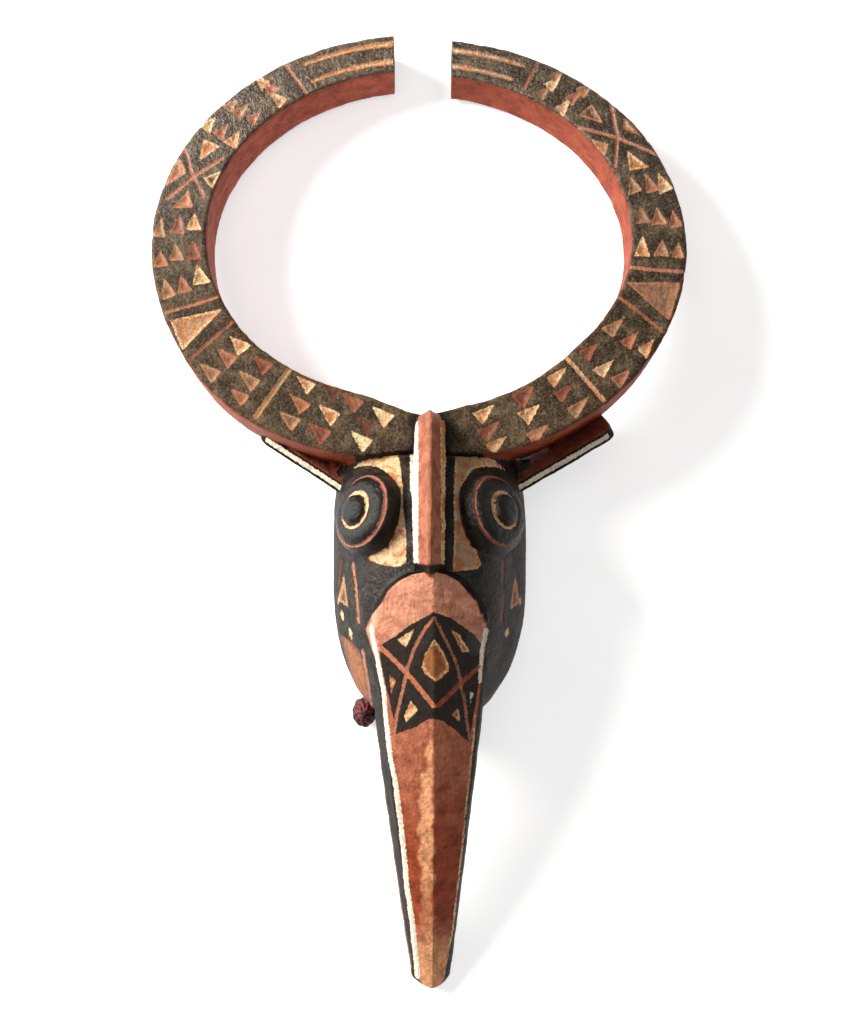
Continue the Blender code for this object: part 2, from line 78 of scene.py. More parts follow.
# %% Sizes of the head, horns, beak, crest, eyes and ears
HEAD = Vector((0.009, -0.055, 0.0))
HEAD_HALF_WIDTH, HEAD_TO_CROWN, HEAD_TO_CHIN, HEAD_HEIGHT = 0.088, 0.138, 0.138, 0.138
HEAD_WALL, CHIN_LEAN = 0.014, -0.003
CROWN_POWER, CHIN_POWER, PROFILE_POWER = 4.0, 2.2, 2.5

RING_HALF_WIDTH, RING_HALF_HEIGHT = 0.2336, 0.1937
HORN_WIDTH_ROOT, HORN_WIDTH_SIDE, HORN_WIDTH_TIP = 0.052, 0.048, 0.035
HORN_DEPTH_ROOT, HORN_DEPTH_TIP = 0.060, 0.047
HORN_GAP, HORN_GAP_X = 0.052, 0.0027
HORN_EDGE_ROUND = 0.0026
RING_TILT, RING_PAST_CROWN = math.radians(9.1), 0.015

BEAK_LENGTH, BEAK_ARCH, BROW_TO_EYES = 0.388, 0.051, 0.048
BEAK_ROOT_WIDTH, BEAK_TIP_WIDTH, BEAK_TIP_ROUND = 0.0475, 0.0111, 0.011
BEAK_ROOT_HEIGHT, BEAK_TIP_HEIGHT, BEAK_TIP_SLOPE = 0.156, 0.015, 0.50
BEAK_ROLL, BEAK_TIP_X, BEAK_ROOF = math.radians(5), 0.0015, 0.40
BEAK_UNDER_SLOPE, BEAK_BEVEL, BEAK_FLARE, BEAK_FLARE_SHARE = 0.27, 0.0045, 0.0042, 0.12

CREST_WIDTH, CREST_LEDGE, CREST_RISE, CREST_ROOT = 0.0098, 0.0048, 0.018, 0.034
EYE_X, EYE_Y, EYE_RADIUS, EYE_HEIGHT, EYE_SINK = 0.054, 0.059, 0.0355, 0.019, 0.011
EYE_OUTWARD, EYE_UPWARD = math.radians(47), math.radians(16)
EAR_WIDTH, EAR_THICKNESS, EAR_LEAN, EAR_ROOT = 0.058, 0.011, math.radians(29), 0.030
EAR_PLACE = (HEAD_HALF_WIDTH - HEAD_WALL / 2, HEAD.y + 0.083, 0.066)
EAR_CORNER_ROUND, EAR_EDGE_ROUND = 0.012, 0.0012
# Reach past the head and turn up from level, for the left ear (-1) and the right ear (1).
EARS = {-1: (0.083, math.radians(33)), 1: (0.096, math.radians(30))}


def mix(a, b, share):
    return a + (b - a) * share


# %% [markdown]
# ## From a grid to a carved bar
#
# A horn, the beak and the crest are all bars whose section changes along the way. Each starts
# as a flat grid. Its rows become sections of the bar, its two long sides are merged, and the
# two open ends are filled. That keeps the faces small and even, which the knife cuts need.

# %% One helper for every bar
def bar(name, sections):
    """Wraps a grid round a row of sections and closes it."""
    rows, count = len(sections), len(sections[0])
    shape = bmesh.new()
    bmesh.ops.create_grid(shape, x_segments=rows - 1, y_segments=count, size=1.0)
    for corner in shape.verts:
        row = round((corner.co.x + 1) / 2 * (rows - 1))
        step = round((corner.co.y + 1) / 2 * count) % count
        corner.co = sections[row][step]
    bmesh.ops.remove_doubles(shape, verts=shape.verts, dist=0.00002)
    bmesh.ops.holes_fill(shape, edges=[e for e in shape.edges if e.is_boundary])
    return keep(name, shape)


def keep(name, shape, forms=None):
    """Stores a closed bmesh as an object with its faces outwards, its form named by a material."""
    bmesh.ops.recalc_face_normals(shape, faces=shape.faces)
    mesh = bpy.data.meshes.new(name)
    shape.to_mesh(mesh)
    shape.free()
    for form in forms or [name.split("_")[0]]:
        mesh.materials.append(bpy.data.materials.get(form) or bpy.data.materials.new(form))
    made = bpy.data.objects.new(name, mesh)
    bpy.context.scene.collection.objects.link(made)
    return made


def run(points, cells):
    """Points along a broken line: each stretch is cut into its own number of cells."""
    out = []
    for (a, b), n in zip(zip(points, points[1:]), cells):
        out += [tuple(mix(p, q, i / n) for p, q in zip(a, b)) for i in range(n)]
    return out


# %% [markdown]
# ## The head
#
# The dome is a sphere drawn out into an egg whose outline is squarer at the crown than at the
# chin. The hollow is the same egg, smaller by the wall all round.

# %% The egg, outside and inside
def egg_share(x, y, inset=0.0):
    """0 over the middle of the head and 1 on its rim."""
    length, power = (HEAD_TO_CROWN, CROWN_POWER) if y > 0 else (HEAD_TO_CHIN, CHIN_POWER)
    across = abs(x) / (HEAD_HALF_WIDTH - inset)
    along = abs(y) / (length - inset)
    return (across ** power + along ** power) ** (1 / power)


def dome_height(x, y):
    share = min(1.0, egg_share(x, y))
    return HEAD_HEIGHT * (1 - share ** PROFILE_POWER) ** (1 / PROFILE_POWER)


def egg(name, inset, segments, rings):
    shape = bmesh.new()
    bmesh.ops.create_uvsphere(shape, u_segments=segments, v_segments=rings, radius=1.0)
    for corner in shape.verts:
        flat, up = math.hypot(corner.co.x, corner.co.y), corner.co.z
        x = y = 0.0
        if flat > 1e-6:
            side, along = corner.co.x / flat, corner.co.y / flat
            reach = flat ** (2 / PROFILE_POWER) / egg_share(side, along, inset)
            x, y = side * reach, along * reach
        z = math.copysign(abs(up) ** (2 / PROFILE_POWER) * (HEAD_HEIGHT - inset), up)
        lean = CHIN_LEAN * (min(0.0, y) / HEAD_TO_CHIN) ** 2
        corner.co = HEAD + Vector((x + lean, y, z))
    return keep(name, shape)


dome = egg("head", 0.0, 192, 120)
cut = bmesh.new()
cut.from_mesh(dome.data)
bmesh.ops.bisect_plane(cut, geom=cut.verts[:] + cut.edges[:] + cut.faces[:],
                       plane_co=(0, 0, 0), plane_no=(0, 0, 1), clear_inner=True)
bmesh.ops.holes_fill(cut, edges=[e for e in cut.edges if e.is_boundary])
bmesh.ops.recalc_face_normals(cut, faces=cut.faces)
cut.to_mesh(dome.data)
cut.free()
hollow = egg("hollow", HEAD_WALL, 128, 72)
print("dome faces:", len(dome.data.polygons))

# %% [markdown]
# ## The horns
#
# Both horns are one bar. Its section is a rounded rectangle, wide at the root, narrower and
# thinner at the tips, and it runs round a ring that leans down to the floor.

# %% Sections round the ring
# Where the carved edges leave two plain ellipses: by how much, and at or over which angle.
CREST_DIP, CREST_DIP_ANGLE, ROOT_SWAY = 0.008, 0.16, 0.018
CREST_SWELL, CREST_SWELL_ANGLE = 0.009, 0.19
TIP_SWING_LEFT, TIP_SWING_RIGHT = 0.0045, 0.0005
LEFT_BULGE, LEFT_BULGE_ANGLE = 0.005, -0.75
RIGHT_HOLLOW, RIGHT_HOLLOW_ANGLE = 0.003, 0.85


def band_edges(angle):
    """Outer and inner edge of the front in the ring's plane, for one angle or many; 0 is the root."""
    angle = np.asarray(angle, float)
    mean = (HORN_WIDTH_ROOT + HORN_WIDTH_TIP) / 2
    shift = (HORN_WIDTH_ROOT - HORN_WIDTH_TIP) / 2
    dip = CREST_DIP * np.exp(-((angle / CREST_DIP_ANGLE) ** 2))
    dip = dip + ROOT_SWAY * angle * np.exp(-4 * angle ** 2)
    outer = np.stack((RING_HALF_WIDTH * np.sin(angle), -RING_HALF_HEIGHT * np.cos(angle)), -1)
    inner = np.stack(((RING_HALF_WIDTH - HORN_WIDTH_SIDE) * np.sin(angle),
                      shift - (RING_HALF_HEIGHT - mean) * np.cos(angle) - dip), -1)
    swing = np.where(angle < 0, TIP_SWING_LEFT, TIP_SWING_RIGHT) * np.sin(angle / 2) ** 4
    out_push = swing + LEFT_BULGE * np.exp(-8 * (angle - LEFT_BULGE_ANGLE) ** 2)
    in_push = swing - RIGHT_HOLLOW * np.exp(-8 * (angle - RIGHT_HOLLOW_ANGLE) ** 2)
    outer += outer / np.linalg.norm(outer, axis=-1, keepdims=True) * out_push[..., None]
    outer[..., 1] += CREST_SWELL * np.exp(-((angle / CREST_SWELL_ANGLE) ** 2))
    inner += inner / np.linalg.norm(inner, axis=-1, keepdims=True) * in_push[..., None]
    return outer, inner


def horn_depth(angle):
    return mix(HORN_DEPTH_TIP, HORN_DEPTH_ROOT, math.cos(angle / 2) ** 1.5)


def horn_outline(across, depth):
    """Rounded rectangle from the inner edge at 0 to the outer edge, front at 0, back at -depth."""
    r = HORN_EDGE_ROUND
    corners = [(r, 0), (across - r, 0), (across - 0.3 * r, -0.3 * r), (across, -r),
               (across, r - depth), (across - r, -depth), (r, -depth), (0, r - depth),
               (0, -r), (0.3 * r, -0.3 * r), (r, 0)]
    return run(corners, (28, 1, 1, 9, 1, 7, 1, 9, 1, 1))


TILT = Matrix.Rotation(-RING_TILT, 3, "X")
SECTIONS_ROUND = 760
CROWN_END = HEAD.y + HEAD_TO_CROWN + RING_PAST_CROWN
last = math.pi - 0.7 * math.asin((HORN_GAP / 2 - HORN_GAP_X) / RING_HALF_WIDTH)
sections = []
for i in range(SECTIONS_ROUND + 1):
    angle = last * (2 * i / SECTIONS_ROUND - 1)
    outer, inner = band_edges(angle)
    across = float(np.linalg.norm(outer - inner))
    along = (outer - inner) / across
    outline = horn_outline(across, horn_depth(angle))
    sections.append([TILT @ Vector((*(inner + along * out), down)) for out, down in outline])
floor_drop = min(p.z for section in sections for p in section)
inner_foot = (TILT @ Vector((0, (HORN_WIDTH_ROOT - HORN_WIDTH_TIP) / 2 - RING_HALF_HEIGHT
                             + (HORN_WIDTH_ROOT + HORN_WIDTH_TIP) / 2, 0))).y
RING_PLACE = Vector((0, CROWN_END - inner_foot, -floor_drop))
ring = bar("ring", [[p + RING_PLACE for p in section] for section in sections])

gap = bmesh.new()
bmesh.ops.create_cube(gap, size=1.0)
bmesh.ops.scale(gap, vec=(HORN_GAP, RING_HALF_HEIGHT, 0.4), verts=gap.verts)
bmesh.ops.translate(gap, verts=gap.verts, vec=(HORN_GAP_X, CROWN_END + RING_HALF_HEIGHT * 1.75, 0))
gap = keep("gap", gap)
print("horn faces:", len(ring.data.polygons), "front height at the tips in mm:",
      round(1000 * RING_PLACE.z))

# %% [markdown]
# ## The beak
#
# The beak is a second bar: a roof with a ridge, two narrow painted edges, steep side walls
# and a flat underside. Its root is an arch on the brow and its tip is blunt.

# %% Sections along the beak
def beak_width(d):
    base = BEAK_LENGTH - BEAK_ARCH
    if d > base:
        return BEAK_ROOT_WIDTH * math.sqrt(max(0.0, 1 - ((d - base) / BEAK_ARCH) ** 2))
    width = mix(BEAK_TIP_WIDTH, BEAK_ROOT_WIDTH, d / base)
    if d < BEAK_TIP_ROUND:
        width *= math.sqrt(max(0.0, 1 - (1 - d / BEAK_TIP_ROUND) ** 2))
    return width


def beak_ridge(d):
    mean = (BEAK_ROOT_HEIGHT - BEAK_TIP_HEIGHT) / BEAK_LENGTH
    return BEAK_TIP_HEIGHT + BEAK_TIP_SLOPE * d - (BEAK_TIP_SLOPE - mean) / BEAK_LENGTH * d * d


def beak_section(d):
    width = max(0.0015, beak_width(d))
    ridge = beak_ridge(d)
    edge, under = ridge - BEAK_ROOF * width, BEAK_UNDER_SLOPE * d
    near_end = min(1.0, width / BEAK_TIP_WIDTH)
    bevel = BEAK_BEVEL * near_end
    flare = (BEAK_FLARE + BEAK_FLARE_SHARE * (edge - under)) * near_end
    drop = min(bevel, (edge - under) * 0.45)
    half = [(width * 0.5, ridge - BEAK_ROOF * width * 0.42), (width, edge),
            (width + bevel * 0.6, edge - drop), (width + flare, under + drop * 0.4),
            (width + flare - drop * 0.6, under)]
    line = [(0.0, ridge)] + half + [(-x, z) for x, z in reversed(half)] + [(0.0, ridge)]
    line = run(line, (13, 12, 3, 12, 2, 8, 2, 12, 3, 12, 13))
    middle = (edge + under) / 2
    turned = [(x * math.cos(BEAK_ROLL) + (z - middle) * math.sin(BEAK_ROLL),
               middle - x * math.sin(BEAK_ROLL) + (z - middle) * math.cos(BEAK_ROLL))
              for x, z in line]
    sunk = min(0.0, min(z for x, z in turned))
    aside = HEAD.x + BEAK_TIP_X * (1 - d / BEAK_LENGTH)
    return [Vector((aside + x, BEAK_TIP_Y + d, z - sunk)) for x, z in turned]


BEAK_TIP_Y = HEAD.y + EYE_Y - BROW_TO_EYES - BEAK_LENGTH
base = BEAK_LENGTH - BEAK_ARCH
TIP_STEPS, SHAFT_STEPS, ARCH_STEPS = 7, 168, 30
steps = [BEAK_TIP_ROUND * (i / TIP_STEPS) ** 2 for i in range(1, TIP_STEPS)]
steps[0] = BEAK_TIP_ROUND * 0.012
steps += [mix(BEAK_TIP_ROUND, base, i / SHAFT_STEPS) for i in range(SHAFT_STEPS)]
steps += [base + BEAK_ARCH * math.sin(math.pi / 2 * i / ARCH_STEPS) for i in range(ARCH_STEPS + 1)]
beak = bar("beak", [beak_section(d) for d in steps])
print("beak faces:", len(beak.data.polygons))

# %% [markdown]
# ## The crest
#
# The crest is a thin bar with a sharp upper edge and a small sloping ledge on both sides. It
# runs from the beak's arch up and over to the meeting of the horns.

# %% Sections along the crest
CREST_FOOT_TOP, CREST_END_TOP, CREST_ARCH = BEAK_ROOT_HEIGHT + 0.004, 0.126, 0.014
CREST_BLUNT, LONG_STEPS, END_STEPS = 0.0016, 60, 18
crest_foot = HEAD.y + EYE_Y - BROW_TO_EYES - 0.003
crest_end = CROWN_END - CREST_DIP + 0.0016
sections = []
for i in range(LONG_STEPS + END_STEPS + 1):
    share = min(i, LONG_STEPS) / LONG_STEPS * 0.90
    share += 0.10 * math.sin(math.pi / 2 * max(0, i - LONG_STEPS) / END_STEPS)
    top = mix(CREST_FOOT_TOP, CREST_END_TOP, share ** 2)
    top += CREST_ARCH * math.sin(math.pi * share ** 0.8)
    end = math.sqrt(max(0.002, 1 - max(0.0, (share - 0.90) / 0.10) ** 2))
    width = CREST_WIDTH * (0.82 + 0.18 * math.sin(math.pi * min(1.0, share * 1.25))) * end
    top -= CREST_RISE * 0.35 * (1 - end)
    blunt = min(CREST_BLUNT, width / 3)
    ledge = width + CREST_LEDGE * end
    half = [(blunt, top), (width * 0.7, top - CREST_RISE * 0.62), (width, top - CREST_RISE),
            (ledge, top - CREST_RISE - CREST_LEDGE), (ledge, top - CREST_ROOT)]
    line = half + [(-x, z) for x, z in reversed(half)] + [half[0]]
    line = run(line, (6, 4, 4, 4, 1, 4, 4, 4, 6, 2))
    sections.append([Vector((HEAD.x + x, mix(crest_foot, crest_end, share), z)) for x, z in line])
crest = bar("crest", sections)
print("crest runs over", round(1000 * (crest_end - crest_foot)), "mm")

# %% [markdown]
# ## Eyes and ears
#
# Each eye is a round boss with two grooves, which is a lathe's shape, so a profile is spun
# round the boss's own axis. The pupils look a little outwards, so the spun middle is pushed
# that way. Each ear is a board with two round corners.

# %% The eyes
EYE_PROFILE = ((0.00, 1.00), (0.15, 0.985), (0.27, 0.92), (0.35, 0.80), (0.375, 0.66), (0.395, 0.58),
               (0.435, 0.57), (0.48, 0.64), (0.57, 0.65), (0.70, 0.60), (0.78, 0.50), (0.83, 0.38),
               (0.85, 0.31), (0.875, 0.31), (0.90, 0.33), (0.95, 0.16), (1.00, -0.22))
PUPIL_SHIFT, PUPIL_SHIFT_SHARE = 0.0038, 0.8


def eye_frame(side):
    """Place and turn of a boss, as a matrix."""
    middle = HEAD + Vector((side * EYE_X, EYE_Y, dome_height(EYE_X, EYE_Y)))
    axis = Vector((side * math.sin(EYE_OUTWARD) * math.cos(EYE_UPWARD), math.sin(EYE_UPWARD),
                   math.cos(EYE_OUTWARD) * math.cos(EYE_UPWARD)))
    return Matrix.Translation(middle) @ axis.to_track_quat("Z", "Y").to_matrix().to_4x4()


def eye(name, side):
    shape = bmesh.new()
    line = run(EYE_PROFILE, (3, 3, 3, 2, 2, 2, 2, 2, 3, 3, 2, 2, 2, 2, 3, 3)) + [EYE_PROFILE[-1]]
    heights = np.array([h for r, h in line])
    heights[1:-1] = (heights[:-2] + 2 * heights[1:-1] + heights[2:]) / 4
    points = [shape.verts.new((EYE_RADIUS * r, 0, EYE_HEIGHT * h))
              for (r, _), h in zip(line, heights)]
    points.append(shape.verts.new((EYE_RADIUS, 0, -EYE_SINK)))
    points.append(shape.verts.new((0, 0, -EYE_SINK)))
    profile = [shape.edges.new(pair) for pair in zip(points, points[1:])]
    bmesh.ops.spin(shape, geom=points + profile, cent=(0, 0, 0), axis=(0, 0, 1),
                   angle=math.tau, steps=96, use_merge=True)
    bmesh.ops.remove_doubles(shape, verts=shape.verts, dist=0.00002)
    outward = eye_frame(side).to_3x3().inverted() @ Vector((side, 0, 0))
    for corner in shape.verts:
        from_axis = math.hypot(corner.co.x, corner.co.y)
        share = max(0.0, 1 - from_axis / (PUPIL_SHIFT_SHARE * EYE_RADIUS))
        corner.co += outward * Vector((1, 1, 0)) * PUPIL_SHIFT * share
    bmesh.ops.transform(shape, matrix=eye_frame(side), verts=shape.verts)
    return keep(name, shape)


# %% The ears
def ear_frame(side):
    """Place and turn of a board on the right of the head; the left one is mirrored afterwards."""
    turn = Matrix.Rotation(EARS[side][1], 4, "Z") @ Matrix.Rotation(EAR_LEAN, 4, "X")
    return Matrix.Translation(EAR_PLACE) @ turn


def ear(name, side):
    shape = bmesh.new()
    length = EARS[side][0] + EAR_ROOT
    bmesh.ops.create_cube(shape, size=1.0)
    bmesh.ops.scale(shape, vec=(length, EAR_THICKNESS, EAR_WIDTH), verts=shape.verts)
    outer = [e for e in shape.edges if all(v.co.x > 0 for v in e.verts)
             and abs(e.verts[0].co.y - e.verts[1].co.y) > EAR_THICKNESS / 2]
    for geom, offset, segments in ((outer, EAR_CORNER_ROUND, 6), (None, EAR_EDGE_ROUND, 2)):
        bmesh.ops.bevel(shape, geom=geom or shape.edges[:], offset=offset, segments=segments,
                        profile=0.5, affect="EDGES", material=-1)
    for _ in range(5):
        long_edges = [e for e in shape.edges if e.calc_length() > 0.0045]
        bmesh.ops.subdivide_edges(shape, edges=long_edges, cuts=1, use_grid_fill=True)
    bmesh.ops.translate(shape, vec=(length / 2 - EAR_ROOT, 0, -EAR_WIDTH / 2), verts=shape.verts)
    bmesh.ops.transform(shape, matrix=ear_frame(side), verts=shape.verts)
    for corner in shape.verts:
        corner.co.x = HEAD.x + side * corner.co.x
    return keep(name, shape)


eyes = [eye("eye_left", -1), eye("eye_right", 1)]
ears = [ear("ear_left", -1), ear("ear_right", 1)]
print("eye faces:", len(eyes[0].data.polygons), "ear faces:", len(ears[0].data.polygons))

# %% [markdown]
# ## One block of wood
#
# The real mask has no joints, so the forms are joined into one closed surface. The gap between
# the horn tips and the hollow for the face are cut out of it last. Then the whole is centred on
# the CAD piece that it stands for. Where two forms meet, a few rounds of smoothing turn the
# hard seam into the small round a gouge leaves there.

# %% Joining and hollowing
MERGE, FLOOR_BAND, WIDEST_EDGE = 0.00004, 0.004, 0.009
SMOOTHED = ("head", "ring", "beak", "eye")


def combine(operation, other):
    step = dome.modifiers.new(other.name, "BOOLEAN")
    step.operation, step.object, step.solver = operation, other, "EXACT"
    step.material_mode = "TRANSFER"


tools = [ring, beak, crest, *eyes, *ears]
for solid in tools:
    combine("UNION", solid)
for solid in (gap, hollow):
    combine("DIFFERENCE", solid)
joined = bpy.data.meshes.new_from_object(dome.evaluated_get(bpy.context.evaluated_depsgraph_get()))
for solid in (dome, gap, hollow, *tools):
    bpy.data.objects.remove(solid)
corners = np.array([v.co for v in joined.vertices])
CENTRING = MASK_MIDDLE - Vector((corners.min(0) + corners.max(0)) / 2)
CENTRING.z = 0.0
shape = bmesh.new()
shape.from_mesh(joined)
bmesh.ops.translate(shape, vec=CENTRING, verts=shape.verts)
bmesh.ops.remove_doubles(shape, verts=shape.verts, dist=MERGE)
bmesh.ops.dissolve_degenerate(shape, edges=shape.edges, dist=MERGE)
bmesh.ops.triangulate(shape, faces=[f for f in shape.faces if len(f.verts) > 4])
soft, seam = {joined.materials.find(form) for form in SMOOTHED}, set()
for corner in shape.verts:
    met = {f.material_index for f in corner.link_faces}
    if len(met) > 1 and met <= soft and corner.co.z > FLOOR_BAND:
        seam.add(corner)
near, rim = set(seam), set(seam)
for _ in range(3):
    rim = {e.other_vert(v) for v in rim for e in v.link_edges} - near
    near |= {v for v in rim if v.co.z > FLOOR_BAND}
    for _ in range(4):
        bmesh.ops.smooth_vert(shape, verts=list(near), factor=0.5, use_axis_x=True,
                              use_axis_y=True, use_axis_z=True)
for _ in range(2):
    wide = [e for e in shape.edges if e.calc_length() > WIDEST_EDGE]
    bmesh.ops.subdivide_edges(shape, edges=wide, cuts=1)
    bmesh.ops.triangulate(shape, faces=[f for f in shape.faces if len(f.verts) > 4])
FORMS = [m.name for m in joined.materials]
mask = keep("carved_mask", shape, FORMS)
print("joined mask:", len(mask.data.vertices), "points,", len(mask.data.polygons), "faces,",
      "forms", FORMS, "moved by mm", [round(1000 * v, 2) for v in CENTRING])

# %% [markdown]
# ## Finding a place on the mask
#
# The pattern is laid out in two ways. On the horns it follows the band: an angle round the ring
# and a share of the way from the inner to the outer edge. On the face it is drawn on a flat
# sheet laid over the mask as it is seen from straight above, in steps of about 0.9 mm.

# %% Points, normals and forms as arrays
mesh = mask.data
count = len(mesh.vertices)


def read(items, name, width, kind=float):
    """One property of every item as an array."""
    out = np.empty(len(items) * width, kind)
    items.foreach_get(name, out)
    return out.reshape(-1, width) if width > 1 else out


where = read(mesh.vertices, "co", 3)
normal = read(mesh.vertices, "normal", 3)
corner_point = read(mesh.loops, "vertex_index", 1, int)
corner_form = np.repeat(read(mesh.polygons, "material_index", 1, int),
                        read(mesh.polygons, "loop_total", 1, int))
touches = np.zeros((count, len(FORMS)), bool)
touches[corner_point, corner_form] = True
on = {form: touches[:, i] for i, form in enumerate(FORMS)}
SHEET_HEIGHT, SHEET_SCALE = 1.32, 1422.0
SHEET_MIDDLE, SHEET_OVER = np.array((427.0, 512.0)), np.array((0.00704, 0.00498))
per_step = (SHEET_HEIGHT - where[:, 2]) / SHEET_SCALE
sheet = SHEET_MIDDLE + (where[:, :2] - SHEET_OVER) / per_step[:, None] * (1, -1)


def ring_view(points):
    """Place in the ring's plane, angle, share of the band and depth behind its front."""
    flat = (points - np.array(RING_PLACE + CENTRING)) @ np.array(TILT)
    angle = np.arctan2(flat[:, 0] / (RING_HALF_WIDTH - 0.024), -flat[:, 1] / (RING_HALF_HEIGHT - 0.02))

    def miss(a):
        outer, inner = band_edges(a)
        across, reach = outer - inner, flat[:, :2] - inner
        return across[:, 0] * reach[:, 1] - across[:, 1] * reach[:, 0]

    for _ in range(6):
        slope = (miss(angle + 0.001) - miss(angle - 0.001)) / 0.002
        angle = angle - np.clip(miss(angle) / np.where(abs(slope) < 1e-9, 1e-9, slope), -0.1, 0.1)
    outer, inner = band_edges(angle)
    across = outer - inner
    share = ((flat[:, :2] - inner) * across).sum(1) / (across ** 2).sum(1)
    return flat[:, :2], angle, share, -flat[:, 2]


ring_flat, ring_angle, ring_share, ring_depth = ring_view(where)
horn_front = on["ring"] & (ring_depth < 0.0012)
print("points on the horns' front:", int(horn_front.sum()))

# %% [markdown]
# ## Knife and brush
#
# One shape does two jobs: its cut goes down into the wood, and its paint stays inside the cut.
# Every point keeps how far it is inside the nearest shape. The material turns that distance
# into a crisp painted edge, and the cut's depth grows with it, as it does under a knife.

# %% Colours and distances
def linear(code):
    """A colour written as sRGB hex, turned linear."""
    parts = [int(code[i:i + 2], 16) / 255 for i in (1, 3, 5)]
    return [p / 12.92 if p <= 0.04045 else ((p + 0.055) / 1.055) ** 2.4 for p in parts]


PAINT = {name: linear(code) for name, code in {
    "white": "#fff2dc", "butter": "#fbe8b4", "cream": "#fad3a2", "sand": "#cca680",
    "ochre": "#b87a48", "tan": "#b8906c", "clay": "#8c6a54", "pink": "#ae7862",
    "rust": "#74483a", "dusk": "#925a46", "terracotta": "#cb7f61", "arch": "#e9a182",
    "fin": "#b9755b", "brick": "#ae4c2b", "red": "#98503c", "painted_lit_brick": "#c9664a",
    "brown": "#5a3622", "umber": "#bc6e3c", "bare": "#935f3a", "worn": "#ffb684",
    "black": "#0d0a08", "char": "#150f0a", "soot": "#332b26", "hollow": "#5a3b25",
    "moss": "#55452f", "olive": "#6e5c44", "straw": "#a08a62", "grey": "#857260"}.items()}


def inside_of(points, outline):
    """How far each point is inside an outline; negative outside."""
    outline = np.asarray(outline, float)
    nearest, inside = np.full(len(points), np.inf), np.zeros(len(points), bool)
    for a, b in zip(outline, np.roll(outline, -1, 0)):
        side, reach = b - a, points - a
        along = np.clip(reach @ side / (side @ side), 0, 1)
        nearest = np.minimum(nearest, np.hypot(*(reach - along[:, None] * side).T))
        crosses = (a[1] > points[:, 1]) != (b[1] > points[:, 1])
        rise = side[1] if abs(side[1]) > 1e-12 else 1e-12
        inside ^= crosses & (points[:, 0] < a[0] + side[0] * (points[:, 1] - a[1]) / rise)
    return np.where(inside, nearest, -nearest)


def inside_stroke(points, line, widths):
    """The same for a stroke that follows a line; its width may change from start to end."""
    line = np.asarray(line, float)
    widths = np.broadcast_to(widths, (2,)) / 2
    best = np.full(len(points), -np.inf)
    total, done = np.hypot(*np.diff(line, axis=0).T).sum(), 0.0
    for a, b in zip(line, line[1:]):
        side, reach = b - a, points - a
        long = np.hypot(*side)
        along = np.clip(reach @ side / (side @ side), 0, 1)
        half = mix(*widths, (done + along * long) / total)
        best = np.maximum(best, half - np.hypot(*(reach - along[:, None] * side).T))
        done += long
    return best


# %% Laying shapes on
LAYERS = {name: {"edge": np.full(count, -0.02), "rim": np.zeros((count, 3)),
                 "fill": np.zeros((count, 3))} for name in ("patch", "mark")}
carved = np.zeros(count)


def lay(layer, chosen, inside, rim, fill=None, depth=0.0, slope=0.45):
    """Adds a shape to a layer: the chosen points and how far each is inside it, in metres."""
    stored = LAYERS[layer]
    better = inside > stored["edge"][chosen]
    index, inside = chosen[better], inside[better]
    stored["edge"][index] = inside
    stored["rim"][index], stored["fill"][index] = PAINT[rim], PAINT[fill or rim]
    if depth:
        carved[index] = np.maximum(carved[index], np.clip(inside * slope, 0, depth))


# %% [markdown]
# ## The pattern on the horns
#
# Both horns carry rows of three small teeth, parted by straight cuts, a crossed panel and two
# long flutes at the tip. On the sides of the ring the teeth point along the band. Near the
# head and near the tips they hang down from a slanting upper edge.

# %% Teeth, lines and flutes
# Corners of a tooth in mm, from its middle; the second kind is forward and across the band.
HANGING_TOOTH = ((-9.0, 8.0), (8.4, 0.2), (0.4, -9.2))
FORWARD_TOOTH = ((9.6, 0), (-6.6, 6.6), (-6.6, -6.6))
HANGING_UP_TO, HANGING_FROM, SMALLER_FROM = 62, 136, 120


def on_band(degrees, share):
    outer, inner = band_edges(math.radians(degrees))
    return mix(inner, outer, share)


def tooth(degrees, share, size=1.0):
    """Corners of one tooth in the ring's plane."""
    middle, side = on_band(degrees, share), math.copysign(1, degrees)
    if abs(degrees) < HANGING_UP_TO or abs(degrees) > HANGING_FROM:
        corners = np.array(HANGING_TOOTH) * (-side, 1)
        return middle + corners * size / 1000
    forward = on_band(degrees + side, share) - on_band(degrees - side, share)
    forward /= np.hypot(*forward)
    across = np.array((-forward[1], forward[0]))
    return [middle + size * (forward * f + across * a) / 1000 for f, a in FORWARD_TOOTH]


